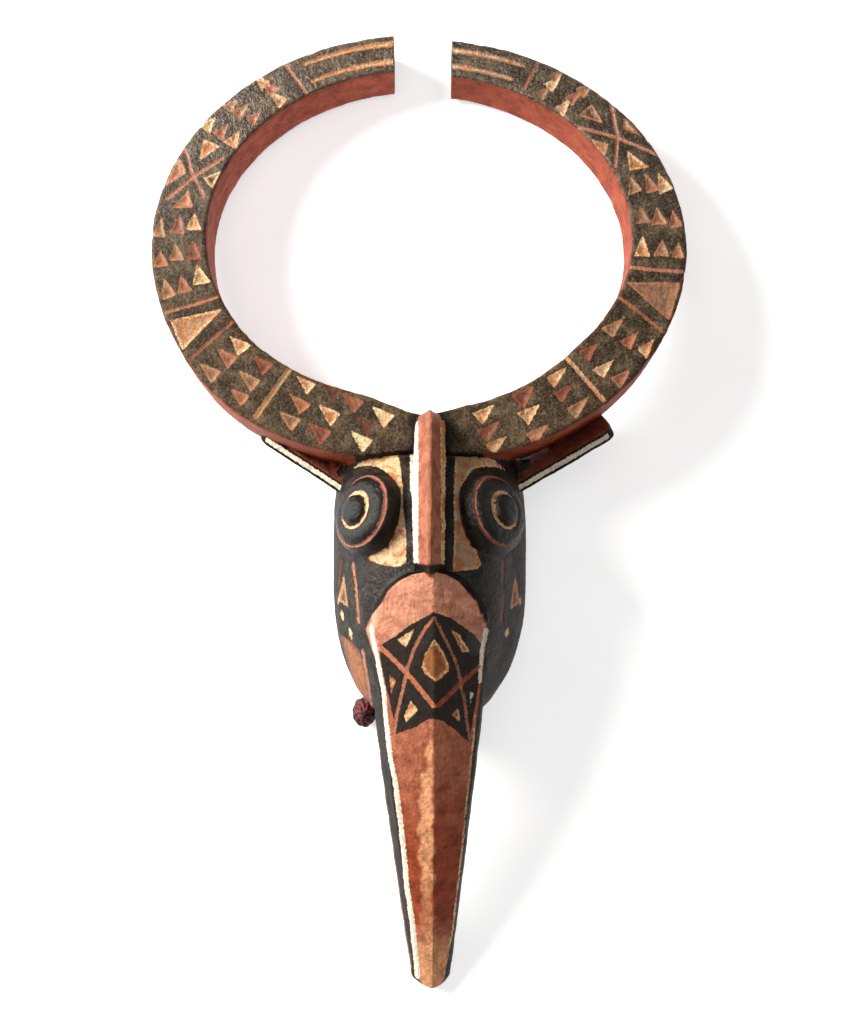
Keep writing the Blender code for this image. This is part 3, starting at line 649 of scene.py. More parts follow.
# Rows of teeth: the angle, then the share and the paint of each tooth.
ROWS = (
    (-142.5, (0.86, "cream"), (0.58, "pink"), (0.28, "cream")),
    (-133.3, (0.84, "tan"), (0.57, "tan"), (0.25, "pink")),
    (-125.0, (0.86, "cream"), (0.54, "pink"), (0.22, "cream")),
    (-94.7, (0.84, "tan"), (0.52, "pink"), (0.24, "cream")),
    (-86.0, (0.84, "pink"), (0.54, "tan"), (0.23, "red")),
    (-77.0, (0.82, "tan"), (0.52, "pink"), (0.20, "cream")),
    (-52.0, (0.80, "tan"), (0.46, "pink"), (0.19, "cream")),
    (-43.0, (0.77, "pink"), (0.49, "tan"), (0.18, "red")),
    (-30.0, (0.72, "tan"), (0.42, "pink"), (0.14, "cream")),
    (-22.5, (0.76, "red"), (0.43, "cream")),
    (147.0, (0.84, "clay"), (0.58, "cream"), (0.27, "clay")),
    (139.5, (0.86, "tan"), (0.58, "pink"), (0.22, "cream")),
    (107.6, (0.23, "tan"), (0.53, "pink"), (0.82, "cream")),
    (97.2, (0.23, "clay"), (0.53, "tan"), (0.82, "pink")),
    (87.7, (0.21, "cream"), (0.54, "tan"), (0.83, "tan")),
    (59.5, (0.21, "tan"), (0.55, "pink"), (0.86, "cream")),
    (49.7, (0.20, "red"), (0.54, "cream"), (0.86, "pink")),
    (37.0, (0.16, "cream"), (0.47, "red"), (0.80, "tan")),
    (27.0, (0.17, "red"), (0.50, "cream")),
    (16.5, (0.23, "cream"), (0.55, "dusk"), (0.85, "sand")))
# Worn teeth near the crest, left as round blobs: angle, share, paint.
BLOBS = ((-17, 0.16, "dusk"), (-23.2, 0.08, "brown"), (-12.7, 0.47, "brown"),
         (-8.9, 0.26, "butter"), (-12.7, 0.75, "butter"), (26, 0.88, "pink"))
# Straight cuts: angle and share of both ends, width in mm, paint.
CUTS = (
    (-149.5, 0.98, -148.6, 0.02, 3.2, "pink"), (-117.1, 0.93, -103.9, 0.16, 3.4, "pink"),
    (-117.5, 0.16, -102.8, 0.84, 3.4, "pink"), (-71.5, 0.94, -69.0, 0.03, 3.2, "pink"),
    (-57.9, 0.94, -59.6, 0.04, 3.2, "dusk"), (-36.8, 0.04, -37.0, 0.90, 5.0, "straw"),
    (152.9, 0.97, 151.4, 0.10, 3.2, "dusk"), (132.9, 0.96, 115.0, 0.09, 3.4, "pink"),
    (131.7, 0.04, 115.9, 0.96, 3.4, "pink"), (79.4, 0.03, 82.8, 0.95, 3.4, "pink"),
    (68.6, 0.03, 65.7, 0.98, 3.4, "dusk"), (43.6, 0.03, 43.3, 0.98, 4.0, "sand"))
# Large teeth and the four small ones of a crossed panel: angle and share of each corner.
PANELS = (
    ((-69.2, 0.92), (-64.7, 0.05), (-60.8, 0.97), "cream", "tan"),
    ((74.2, 0.03), (79.8, 0.95), (69.0, 0.97), "pink", "clay"),
    ((-121.5, 0.75), (-121.0, 0.36), (-114.6, 0.55), "cream", "ochre"),
    ((-115.0, 0.97), (-106.0, 0.97), (-110.8, 0.66), "tan", "pink"),
    ((-113.2, 0.05), (-106.4, 0.05), (-109.8, 0.32), "cream", "brown"),
    ((-105.8, 0.50), (-100.0, 0.70), (-100.0, 0.30), "tan", "tan"),
    ((135.5, 0.68), (135.0, 0.26), (129.0, 0.50), "tan", "brown"),
    ((129.6, 0.97), (120.5, 0.97), (125.4, 0.70), "brown", "tan"),
    ((126.8, 0.03), (119.0, 0.03), (122.8, 0.26), "tan", "ochre"),
    ((119.0, 0.50), (112.6, 0.70), (112.6, 0.30), "cream", "ochre"))
# The long flutes at both tips: first and last angle, share, rim and fill.
FLUTES = ((-174.5, -153, 0.76, "ochre", "cream"), (-174.5, -152, 0.28, "ochre", "cream"),
          (173, 155, 0.71, "clay", "cream"), (173, 156, 0.28, "clay", "cream"))
WORN_FILL = {"cream": "sand", "tan": "clay", "pink": "dusk", "red": "rust"}
front = np.flatnonzero(horn_front)
flat = ring_flat[front]
chance = np.random.default_rng(4)
for degrees, *teeth in ROWS:
    for share, paint in teeth:
        size = (0.95 if abs(degrees) > SMALLER_FROM else 1.07) * chance.uniform(0.93, 1.1)
        corners = np.array(tooth(degrees + chance.uniform(-0.8, 0.8), share, size))
        corners += chance.normal(0, 0.0008, (3, 2))
        lay("mark", front, inside_of(flat, corners), paint, WORN_FILL.get(paint, paint), 0.0018)
for degrees, share, paint in BLOBS:
    lay("mark", front, inside_of(flat, tooth(degrees, share, 0.92)) + 0.0012, paint, None, 0.0012)
for a, a_share, b, b_share, width, paint in CUTS:
    ends = [on_band(mix(a, b, t), mix(a_share, b_share, t)) for t in (0, 0.5, 1)]
    lay("mark", front, inside_stroke(flat, ends, width / 1000), paint, None, 0.0012, 0.9)
for *corners, rim, fill in PANELS:
    lay("mark", front, inside_of(flat, [on_band(*c) for c in corners]), rim, fill, 0.0016, 0.3)
for start, end, share, rim, fill in FLUTES:
    line = [on_band(mix(start, end, t / 8), share) for t in range(9)]
    lay("mark", front, inside_stroke(flat, line, (0.0062, 0.0040)), rim, fill, 0.0010, 0.4)
print("teeth on the horns:", sum(len(row) - 1 for row in ROWS), "deepest cut mm:",
      round(1000 * carved.max(), 2))

# %% [markdown]
# ## The pattern on the face and beak
#
# These shapes are outlines on the drawing sheet, as the photo shows them. Wide patches and the
# black panel go into the lower layer, because lines and clay shapes are painted over them.

# %% Shapes on the drawing sheet
def draw(layer, forms, outline, rim, fill=None, depth=0.0, slope=0.45, stroke=None):
    """Lays one outline or stroke of the sheet on the upper side of some forms."""
    rear = (normal[:, 1] > 0.6) & (normal[:, 2] < 0.5)
    chosen = np.flatnonzero(np.any([on[f] for f in forms], 0) & (normal[:, 2] > 0.02) & ~rear)
    points = sheet[chosen]
    inside = inside_stroke(points, outline, stroke) if stroke else inside_of(points, outline)
    lay(layer, chosen, inside * per_step[chosen], rim, fill, depth, slope)


FACE = ("head", "crest", "beak")
LEFT_PATCH = (
    (350.4, 469.2), (363.5, 460), (378.8, 453.8), (398.8, 455.4), (400.4, 467.7), (402.7, 486.2),
    (403.2, 498.5), (402.7, 507.7), (405, 523), (406.5, 538.5), (405.8, 563), (397.3, 567),
    (383.5, 565.4), (366.5, 559.2), (375.8, 549.2), (386.5, 535.4), (393.5, 521.5), (398, 513.8),
    (400.4, 504.6), (397.3, 495.4), (394.2, 486.2), (391.2, 476.9), (385, 470.8), (375.8, 466.2),
    (365, 465.4))
RIGHT_PATCH = (
    (455.8, 452.3), (478.8, 454.6), (495.8, 460.8), (508.8, 472.3), (498.8, 467.7), (485, 466.2),
    (472.7, 469.2), (465, 480), (461.9, 492.3), (461.2, 507.7), (464.2, 523), (470.4, 538.5),
    (476.5, 550.8), (481.9, 564.6), (477.3, 569.2), (452.7, 571.5), (453.5, 553.8), (454.2, 530.8),
    (453.5, 500), (454.2, 476.9), (455, 461.5))
CREST_LEFT_STRIPE = (
    (416, 424), (418.4, 419), (418.6, 563), (413.6, 563), (412.7, 520), (412, 497), (410, 490),
    (409.8, 460), (411, 449), (414, 440))
CREST_RIGHT_STRIPE = (
    (440.2, 418), (443, 415), (446.8, 425), (447, 447), (445.6, 455), (445.4, 490), (445, 530),
    (444.4, 565), (440.6, 565), (440.8, 500), (440.5, 450))
CHEEK_PATCH = ((340, 634), (352, 642), (359.3, 650), (365, 668), (372, 702), (364, 700), (353, 682))
# Lines with width and paint, then small shapes with rim and fill.
CHEEK_LINES = ((((352.7, 563), (356, 590), (358.6, 623)), 2.5, "pink"),
               (((502.7, 561.5), (503.5, 598), (501, 624)), 2.6, "rust"),
               (((341, 560), (338.5, 585)), 2.0, "brown"))
CHEEK_SHAPES = ((((344, 574), (337.5, 600), (348, 608)), "tan", "brown"),
                (((515.5, 572), (510, 610), (520, 603)), "tan", "brown"),
                (((336.5, 596), (339, 600), (338, 607)), "cream", None),
                (((341, 609), (344, 615), (343, 622), (340.5, 616)), "cream", None),
                (((349, 626), (352.5, 633), (352, 641), (348.5, 634)), "cream", None),
                (((519.5, 595), (521.5, 601), (519.5, 609)), "cream", None),
                (((508, 627), (509, 634), (505.5, 640), (505, 633)), "cream", None))
draw("patch", FACE, LEFT_PATCH, "cream", "cream", 0.0006)
draw("patch", FACE, RIGHT_PATCH, "cream", "sand", 0.0006)
draw("mark", FACE, CREST_LEFT_STRIPE, "white")
draw("mark", FACE, CREST_RIGHT_STRIPE, "cream", "ochre")
draw("patch", FACE, CHEEK_PATCH, "rust", "bare")
for line, width, paint in CHEEK_LINES:
    draw("mark", FACE, line, paint, None, 0.0010, 0.9, stroke=width)
for outline, rim, fill in CHEEK_SHAPES:
    draw("mark", FACE, outline, rim, fill, 0.0008)

# %% [markdown]
# ## The panel on the beak
#
# The beak's wide root carries a black panel with a drop, four lines and small pieces of clay
# paint. The head shows through the roof in one corner there, so its high part counts as roof too.
# Pale lines follow both edges of the roof down to the tip.

# %% The beak's panel
on["roof"] = on["beak"] | (on["head"] & (where[:, 2] > 0.1))
BEAK = ("roof",)
PANEL = (
    (434.3, 612), (410.7, 624.3), (393.6, 637), (381.4, 644.3), (380, 658.6), (386.4, 690),
    (393.6, 718.6), (394.3, 735.7), (399.3, 732.9), (416.4, 727), (427.9, 719.3), (434.3, 718.6),
    (443.6, 721.4), (455, 730), (469.3, 742.9), (472, 727), (476.4, 698.6), (480, 675.7),
    (486, 650), (474, 634), (452, 618.5))
PANEL_LINES = (
    (((433.6, 618), (425, 628.6), (413.6, 650), (407, 670), (402, 692.9), (396.4, 715.7),
      (393.6, 737)), 3.6, "pink"),
    (((434.4, 618), (443.6, 635.7), (452, 652.9), (458.6, 670), (460.7, 687), (464.3, 698.6),
      (467.9, 727), (470, 740)), 3.2, "pink"),
    (((381.5, 648), (407.9, 674.3), (433.6, 706)), 5.0, "terracotta"),
    (((479.8, 666.5), (459.3, 684.3), (438, 706)), 4.6, "red"))
PANEL_SHAPES = (
    (((433.6, 639), (425, 654.3), (421.6, 665.7), (425, 674.3), (436.4, 682), (447.9, 672),
      (449.6, 667), (445, 654.3), (439.3, 645)), "cream", "bare"),
    (((396.5, 640), (414.6, 629), (406.4, 647)), "cream", "cream"),
    (((450, 628), (459.3, 634.3), (470.5, 652), (462, 652)), "cream", "brown"),
    (((389, 674), (395.9, 681.4), (391, 694)), "tan", "cream"),
    (((410, 700), (418.2, 710), (406.4, 722), (404, 717)), "cream", "cream"),
    (((457.9, 708), (451.6, 714.3), (459.3, 722.5), (460.3, 714.3)), "cream", "brown"),
    (((469.3, 691), (474, 692.9), (470.7, 705)), "white", "white"))
# Lines beside the roof: where they lie, their points, their paint and both end widths.
EDGE_LINES = (
    (FACE, ((370.7, 627), (375, 647), (378.6, 667), (383.6, 690), (385.7, 718.6), (390.7, 758.6),
            (395.9, 785.5), (401.4, 827), (406.8, 885.5), (412.3, 921.8), (417.7, 976)),
     "white", (4.4, 5.8)),
    (FACE, ((486.4, 630), (482, 651.4), (480, 682)), "white", (4.8, 3.6)),
    (BEAK, ((475, 714), (473.6, 741), (470.5, 762), (465, 818), (458.6, 878), (453, 927),
            (444, 974.5)), "cream", (2.0, 1.8)),
    # The pink line low on the left wall is the red underside's edge: red paint with a painted
    # highlight where that edge catches the light.
    (("head", "beak"), ((362.5, 650), (368, 681.4), (373.8, 718.6), (379.8, 758.6), (387, 812),
                        (394, 860), (404, 925), (411, 968)), "pink", (2.8, 2.2)))
draw("patch", BEAK, PANEL, "soot")
for line, width, paint in PANEL_LINES:
    draw("mark", BEAK, line, paint, None, 0.0006, 0.5, stroke=width)
for outline, rim, fill in PANEL_SHAPES:
    draw("mark", BEAK, outline, rim, fill, 0.0008)
for forms, line, paint, widths in EDGE_LINES:
    draw("mark", forms, line, paint, stroke=widths)
print("painted points:", int((LAYERS["mark"]["edge"] > 0).sum()))

# %% [markdown]
# ## Rings of the eyes and edges of the ears
#
# The paint of an eye follows the distance from the boss's own axis, bent like the boss itself.
# Each ear has a pale stripe along the thin edge that faces the viewer, and red paint on the
# side that faces the crown.

# %% Eye rings and ear stripes
# Rings of paint: middle and width as a share of the boss's radius.
EYE_RINGS = ((0.435, 0.085, "cream"), (0.862, 0.066, "dusk"))
STRIPE_HALF, STRIPE_DEPTH = 0.0024, 0.0015
ear_red = np.zeros(count, bool)
before_centring = where - np.array(CENTRING)
for side in (-1, 1):
    own_side = side * (where[:, 0] - HEAD.x) > 0
    local = np.c_[before_centring, np.ones(count)] @ np.array(eye_frame(side).inverted()).T
    outward = np.array(eye_frame(side).to_3x3().inverted() @ Vector((side, 0, 0)))[:2]
    radius = np.zeros(count)
    for _ in range(6):
        pushed = np.maximum(0, 1 - radius / PUPIL_SHIFT_SHARE)[:, None]
        reach = local[:, :2] - outward * PUPIL_SHIFT * pushed
        radius = np.hypot(*reach.T) / EYE_RADIUS
    facing_out = (reach @ outward) / np.maximum(radius * EYE_RADIUS, 1e-6)
    chosen = np.flatnonzero(on["eye"] & own_side)
    for middle, width, rim in EYE_RINGS:
        half = width * (0.5 - 0.18 * facing_out[chosen])
        lay("mark", chosen, (half - abs(radius[chosen] - middle)) * EYE_RADIUS, rim)
    chosen = np.flatnonzero(on["ear"] & own_side)
    turn, mirror = np.array(ear_frame(side).to_3x3()), np.array((side, 1, 1))
    board = ((before_centring[chosen] - (HEAD.x, 0, 0)) * mirror - EAR_PLACE) @ turn
    facing = (normal[chosen] * mirror) @ turn
    inside = np.where(board[:, 2] > -STRIPE_DEPTH, STRIPE_HALF - abs(board[:, 1]), -0.01)
    lay("mark", chosen, inside, "white")
    ear_red[chosen] = facing[:, 1] > 0.5
    print("ear points:", len(chosen), "with stripe:", int((inside > 0).sum()))

# %% [markdown]
# ## Ground colours
#
# Under the pattern every form has its own ground: soot on the head, moss-brown soot on the
# horns' front with red earth on their sides, a red strip along the crest, and a terracotta arch
# and roof on the beak that turn brick red further down. Bare wood shows along the worn ridge.
# Each corner of a face keeps the colour of its own form, so two forms meet in a sharp line.

# %% Ground colour of each corner
CREST_LINE, STRIP_LEFT, STRIP_RIGHT, STRIP_FOOT, CREST_FOOT = 429, 418.0, 440.8, 564, 574
ROOF_FROM, REDDER_FROM, REDDER_TO, FADES_FROM, BARE_FROM, BARE_TO = 648, 770, 850, 870, 915, 960
ARCH = (
    (366, 629), (372, 615), (382, 603), (389, 590), (399, 581), (413, 574.5), (429.4, 571),
    (446, 574.5), (458, 581), (466, 590), (477, 603), (488, 631), (480, 656), (455, 640),
    (429, 626), (404, 640), (374, 656))
WORN_RIDGE = (
    (431, 720), (428, 742), (424, 755), (427, 766), (420, 776), (422, 790), (417, 800), (420, 814),
    (416, 828), (420, 842), (416, 858), (421, 872), (419, 890), (421, 905), (418, 920), (421, 940),
    (420, 976), (436, 976), (434, 940), (436, 915), (431, 897), (437, 880), (432, 866), (436, 850),
    (433, 831), (436, 812), (432, 794), (435, 775), (433, 758), (434, 741))


def blend(a, b, share):
    return np.asarray(PAINT[a]) * (1 - share[:, None]) + np.asarray(PAINT[b]) * share[:, None]


def over(ground, name, share):
    """Paints a ground over by a share between 0 and 1."""
    return ground * (1 - share[:, None]) + np.array(PAINT[name]) * share[:, None]


def plain(name):
    return np.tile(PAINT[name], (count, 1))


def smooth(value, low, high):
    t = np.clip((value - low) / (high - low), 0, 1)
    return t * t * (3 - 2 * t)


def noise_at(scale, shift=(0, 0, 0)):
    """Noise at every point, with features about 1/scale metres across."""
    return np.array([noise.noise(Vector(p) * scale + Vector(shift)) for p in where])


tip_near = smooth(abs(np.degrees(ring_angle)), 60, 150)
beside_crest = smooth(abs(sheet[:, 0] - CREST_LINE), 32, 12)
# From 40 degrees on, the right horn's front is mixed darker than the left one's: a painted difference
# of light, standing for the sheen the lamp lays on the left horn only.
horn_share = 0.82 + 0.15 * tip_near - 0.30 * smooth(ring_angle, 0.7, 1.0) - 0.8 * beside_crest
horn = np.where((ring_depth < 0.0009)[:, None], blend("char", "moss", horn_share), plain("brick"))
# The inner side of the left horn turns away from the lamp, so it gets a lighter brick there: painted
# light.
horn[(ring_angle < -0.3) & (ring_share < 0.3) & (ring_depth > 0.0009)] = PAINT["painted_lit_brick"]
horn[(abs(ring_angle) < 0.24) & (ring_share > 0.5) & (ring_depth > 0.0005)] = PAINT["char"]
full_depth = np.array([horn_depth(a) for a in np.clip(ring_angle, -3.14, 3.14)])
horn[ring_depth > full_depth - 0.002] = PAINT["brown"]

strip = (sheet[:, 0] > STRIP_LEFT) & (sheet[:, 0] < STRIP_RIGHT) & (sheet[:, 1] < STRIP_FOOT)
crest_ground = np.where(strip[:, None], PAINT["fin"], PAINT["char"])
crest_ground[sheet[:, 1] > CREST_FOOT] = PAINT["arch"]

arch = np.where(normal[:, 2] > 0.25, inside_of(sheet, ARCH) * per_step, -1.0)
arch = smooth(arch, -0.0003, 0.0005)
wear = inside_of(sheet, WORN_RIDGE) * per_step + noise_at(210) * 0.0022
wear = smooth(wear, -0.0006, 0.0026) * (1 - 0.6 * smooth(sheet[:, 1], FADES_FROM, BARE_FROM))
roof = blend("terracotta", "brick", 0.25 + 0.65 * smooth(sheet[:, 1], REDDER_FROM, REDDER_TO))
roof = over(over(roof, "worn", wear), "worn", smooth(sheet[:, 1], BARE_FROM, BARE_TO))
beak_ground = over(roof, "char", 1 - smooth(normal[:, 2], 0.66, 0.78))
beak_ground[sheet[:, 1] < ROOF_FROM] = PAINT["char"]
beak_ground = over(beak_ground, "arch", arch)
beak_ground[(where[:, 2] < 0.006) & (normal[:, 2] < 0.6)] = PAINT["dusk"]

by_form = {
    "head": over(plain("char"), "arch", arch), "ring": horn, "crest": crest_ground,
    "beak": beak_ground, "eye": plain("black"), "hollow": plain("hollow"), "gap": plain("moss"),
    "ear": np.where(ear_red[:, None], PAINT["red"], PAINT["black"])}
corner_ground = np.zeros((len(corner_point), 3))
for i, form in enumerate(FORMS):
    corner_ground[corner_form == i] = by_form[form][corner_point[corner_form == i]]
print("corners with a ground colour:", len(corner_ground))

# %% [markdown]
# ## The carver's hand
#
# No surface is machine flat. The wood gets low, wide waves from the adze, the horns' edges get
# small chips, the strip beside the crest gets its nicks, and then the pattern is cut in. The rim
# on the floor stays flat.

# %% Waves, nicks and cuts
NICKED_STRIP, NICK_EVERY = ((403.5, 492), (409.5, 492), (413.5, 568), (404.5, 568)), 5.2
free = smooth(where[:, 2], 0.0005, 0.004)
from_edge = np.minimum(abs(ring_share), abs(1 - ring_share)) * 0.05 + abs(ring_depth)
chips = smooth(noise_at(95, (2, 9, 4)), 0.22, 0.50)
chips = chips * smooth(from_edge, 0.0045, 0.001) * on["ring"] * 0.0009
waves = noise_at(55) * 0.0006
waves += noise_at(210, (7, 3, 1)) * 0.00035
nicked = smooth(inside_of(sheet, NICKED_STRIP) * per_step, 0, 0.0012)
nicks = nicked * (0.5 + 0.5 * np.sin(sheet[:, 1] * math.tau / NICK_EVERY)) * 0.0010
nicks[~(on["head"] & (normal[:, 2] > 0.2))] = 0
depth = (carved + nicks + chips - waves * (1 - smooth(carved, 0, 0.0004))) * free
moved = where - normal * depth[:, None]
moved[:, 2] = np.maximum(moved[:, 2], 0)
mesh.vertices.foreach_set("co", moved.ravel())
mesh.update()
print("moved by at most mm:", round(1000 * float(abs(depth).max()), 2))

# %% [markdown]
# ## Raised and hollow places
#
# Hands rub raised edges bare, and hollows hold dirt and get painted shade. The bend at a point
# shows which it is: the mean direction to its neighbours, measured along its normal, spread over
# two steps.

# %% The bend at every point
edges = read(mesh.edges, "vertices", 2, int)
reach = moved[edges[:, 1]] - moved[edges[:, 0]]
long = np.maximum(np.linalg.norm(reach, axis=1), 1e-6)[:, None]
pull, weight = np.zeros((count, 3)), np.zeros(count)
for end, sign in ((0, 1), (1, -1)):
    np.add.at(pull, edges[:, end], sign * reach / long)
    np.add.at(weight, edges[:, end], 1)
new_normal = read(mesh.vertices, "normal", 3)
bend = -(pull * new_normal).sum(1) / np.maximum(weight, 1)
for _ in range(2):
    total = np.zeros(count)
    np.add.at(total, edges[:, 0], bend[edges[:, 1]])
    np.add.at(total, edges[:, 1], bend[edges[:, 0]])
    bend = 0.5 * bend + 0.5 * total / np.maximum(weight, 1)
print("bend from", round(float(bend.min()), 2), "to", round(float(bend.max()), 2))


# %% Storing what the material reads
def store(name, kind, domain, values):
    attribute = mesh.attributes.new(name, kind, domain)
    if kind == "FLOAT_COLOR":
        values = np.c_[values, np.ones(len(values))]
    attribute.data.foreach_set("value" if kind == "FLOAT" else "color", values.ravel())


store("ground", "FLOAT_COLOR", "CORNER", corner_ground)
for name, stored in LAYERS.items():
    store(name + "_edge", "FLOAT", "POINT", stored["edge"] * 1000)
    store(name + "_rim", "FLOAT_COLOR", "POINT", stored["rim"])
    store(name + "_fill", "FLOAT_COLOR", "POINT", stored["fill"])
store("bend", "FLOAT", "POINT", bend)
gloss = np.where(horn_front, 0.2 + 0.8 * tip_near, 0.15) + 0.4 * on["eye"]
gloss += 0.4 * on["head"] * smooth(normal[:, 2], 0.3, 0.7)
store("gloss", "FLOAT", "POINT", gloss)
patina = np.where(horn_front, 1.0 - 0.8 * beside_crest, np.where(on["head"], 0.3, 0.1))
store("patina", "FLOAT", "POINT", patina)

# %% [markdown]
# ## Painted wood
#
# One material covers the mask: soot, earth and clay bound with glue and brushed over carved
# wood. A few short helpers make its nodes: noise, a ramp from one range to another, a sum or a
# product, and a mix of two colours.

# %% Helpers for the nodes
def add(tree, kind, links=(), **settings):
    """One node: its settings, then what feeds which of its sockets."""
    node = tree.nodes.new(kind)
    for key, value in settings.items():
        if key.startswith("in_"):
            node.inputs[int(key[3:])].default_value = value
        else:
            setattr(node, key, value)
    for socket, source in links:
        tree.links.new(source, node.inputs[socket])
    return node


def start(material):
    """Turns on a material's nodes: its tree, its shader and the place on the object."""
    material.use_nodes = True
    tree = material.node_tree
    return tree, tree.nodes["Principled BSDF"], add(tree, "ShaderNodeTexCoord").outputs["Object"]


wood = bpy.data.materials.new("painted_carved_hardwood")
tree, shader, place = start(wood)


def spots(scale, detail=3.0, rough=0.6, stretch=None):
    """Noise whose features are about 1/scale metres across."""
    source = place
    if stretch:
        source = add(tree, "ShaderNodeMapping", [(0, place)], in_3=stretch).outputs[0]
    return add(tree, "ShaderNodeTexNoise", [("Vector", source)], in_2=scale, in_3=detail,
               in_4=rough).outputs[0]


def ramp(value, low, high, to_low=0.0, to_high=1.0):
    return add(tree, "ShaderNodeMapRange", [(0, value)], in_1=low, in_2=high, in_3=to_low,
               in_4=to_high).outputs[0]


def sum_of(a, b, operation="ADD"):
    node = add(tree, "ShaderNodeMath", [(0, a)], operation=operation)
    if isinstance(b, (int, float)):
        node.inputs[1].default_value = b
    else:
        tree.links.new(b, node.inputs[1])
    return node.outputs[0]


def times(a, b):
    return sum_of(a, b, "MULTIPLY")


def colours(share, a, b, kind="MIX"):
    node = add(tree, "ShaderNodeMix", [(0, share)] if not isinstance(share, float) else [],
               data_type="RGBA", blend_type=kind)
    if isinstance(share, float):
        node.inputs[0].default_value = share
    for socket, value in ((6, a), (7, b)):
        if isinstance(value, (tuple, list)):
            node.inputs[socket].default_value = (*value[:3], 1)
        else:
            tree.links.new(value, node.inputs[socket])
    return node.outputs[2]


def attribute(name):
    return add(tree, "ShaderNodeAttribute", attribute_name=name)


# %% [markdown]
# ## The ground of the paint
#
# Old soot isn't even: it is rubbed thin in patches and holds pale dust. The patina, strongest
# on the horns' front, says how much olive, grey and black the noise may lay over the ground.

# %% Noise and ground
speckle = spots(900, 4, 0.75)
mottle = spots(75, 5, 0.65)
grit = spots(520, 5, 0.8)
stain = spots(105, 6, 0.75)
streak = spots(1.0, 3, 0.6, stretch=(700, 60, 500))
colour = attribute("ground").outputs["Color"]
patina = attribute("patina").outputs["Fac"]
dark = colours(1.0, colour, (0.50, 0.46, 0.43), "MULTIPLY")
colour = colours(ramp(mottle, 0.40, 0.60, 0.75, 0.0), colour, dark)
colour = colours(times(ramp(mottle, 0.47, 0.62, 0.0, 0.65), patina), colour, PAINT["olive"])
colour = colours(times(ramp(grit, 0.52, 0.66, 0.0, 0.75), patina), colour, PAINT["grey"])
colour = colours(times(ramp(grit, 0.50, 0.36, 0.0, 0.85), patina), colour, PAINT["black"])
print("nodes for the ground:", len(tree.nodes))

# %% [markdown]
# ## The two layers of pattern
#
# A layer's distance in mm plus a little noise gives a crisp but hand-made edge near zero, and
# further in, the change from the rim's colour to the fill's. Pale clay takes brown stains, and
# grit breaks it up where the patina is strong.

# %% Patches, then marks
wobble = ramp(spots(340, 5, 0.75), 0.3, 0.7, -0.8, 0.8)
covers = {}
for name in ("patch", "mark"):
    edge = sum_of(attribute(name + "_edge").outputs["Fac"], wobble)
    covers[name] = times(ramp(edge, -0.15, 0.35),
                         ramp(times(grit, patina), 0.50, 0.60, 1.0, 0.35))
    core = ramp(sum_of(edge, ramp(speckle, 0.3, 0.7, -1.8, 1.8)), 1.2, 2.6)
    rim, fill = (attribute(name + part).outputs["Color"] for part in ("_rim", "_fill"))
    paint = colours(core, rim, fill)
    light = add(tree, "ShaderNodeRGBToBW", [(0, paint)]).outputs[0]
    pale = times(ramp(light, 0.04, 0.3), ramp(light, 0.78, 0.86, 1.0, 0.25))
    paint = colours(times(ramp(stain, 0.47, 0.56, 0.0, 0.85), pale), paint, PAINT["umber"])
    paint = colours(times(ramp(grit, 0.54, 0.68, 0.0, 0.35), pale), paint, PAINT["brown"])
    colour = colours(covers[name], colour, paint)
print("nodes with the pattern:", len(tree.nodes))

# %% [markdown]
# ## Dirt, wear, painted shade, gloss and bump
#
# Brown grime lies over all the paint in blotches and streaks, raised edges are rubbed to bare wood,
# and hollows are darkened towards black, as dirt and painted shade. The horn tips and the eyes are
# the glossiest, where glue and hands have polished them. The bump holds only what is too fine for
# the mesh: brush, grain and grit.

# %% Dirt, wear, painted shade, gloss and bump
grime = colours(1.0, colour, (0.50, 0.42, 0.36), "MULTIPLY")
colour = colours(ramp(stain, 0.50, 0.36, 0.0, 0.75), colour, grime)
colour = colours(ramp(streak, 0.36, 0.60, 0.42, 0.0), colour, grime)
bend_value = attribute("bend").outputs["Fac"]
worn = ramp(sum_of(bend_value, ramp(speckle, 0.3, 0.7, -0.10, 0.10)), 0.10, 0.30)
colour = colours(times(worn, 0.45), colour, PAINT["bare"])
# Hollows are darkened towards black: their dirt and painted shade together.
dirt_and_hollow_shade = ramp(bend_value, -0.08, -0.30)
colour = colours(times(dirt_and_hollow_shade, 0.55), colour, PAINT["black"])
tree.links.new(colour, shader.inputs["Base Color"])
gloss_value = attribute("gloss").outputs["Fac"]
rough = sum_of(ramp(speckle, 0.3, 0.7, 0.50, 0.74), times(gloss_value, 0.46), "SUBTRACT")
tree.links.new(rough, shader.inputs["Roughness"])
relief = sum_of(times(speckle, 0.35), times(streak, 0.35))
for source, strength in ((covers["mark"], 0.25), (grit, 0.8), (spots(280, 3, 0.6), 2.4)):
    relief = sum_of(relief, times(source, strength))
bump = add(tree, "ShaderNodeBump", [("Height", relief)], in_0=0.7, in_1=0.0008)
tree.links.new(bump.outputs[0], shader.inputs["Normal"])
tree.links.new(ramp(gloss_value, 0.1, 1.0, 0.07, 0.45), shader.inputs["Specular IOR Level"])
print("nodes in the wood:", len(tree.nodes))

# %% Giving the mask its material and its place in the frame
mesh.materials.clear()
mesh.materials.append(wood)
mesh.polygons.foreach_set("material_index", np.zeros(len(mesh.polygons), int))
mesh.polygons.foreach_set("use_smooth", np.ones(len(mesh.polygons), bool))
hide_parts("mask_body")
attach(mask, "root")
print("painted faces:", len(mesh.polygons))

# %% [markdown]
# ## The fibre knot
#
# A dark red lump sits at the lower left edge of the face. It looks like the end of a dyed fibre
# fastening, pulled into a knot. It is a ball of bound strands: a sphere with two sets of
# grooves wound round it, held inside the box of its CAD piece.

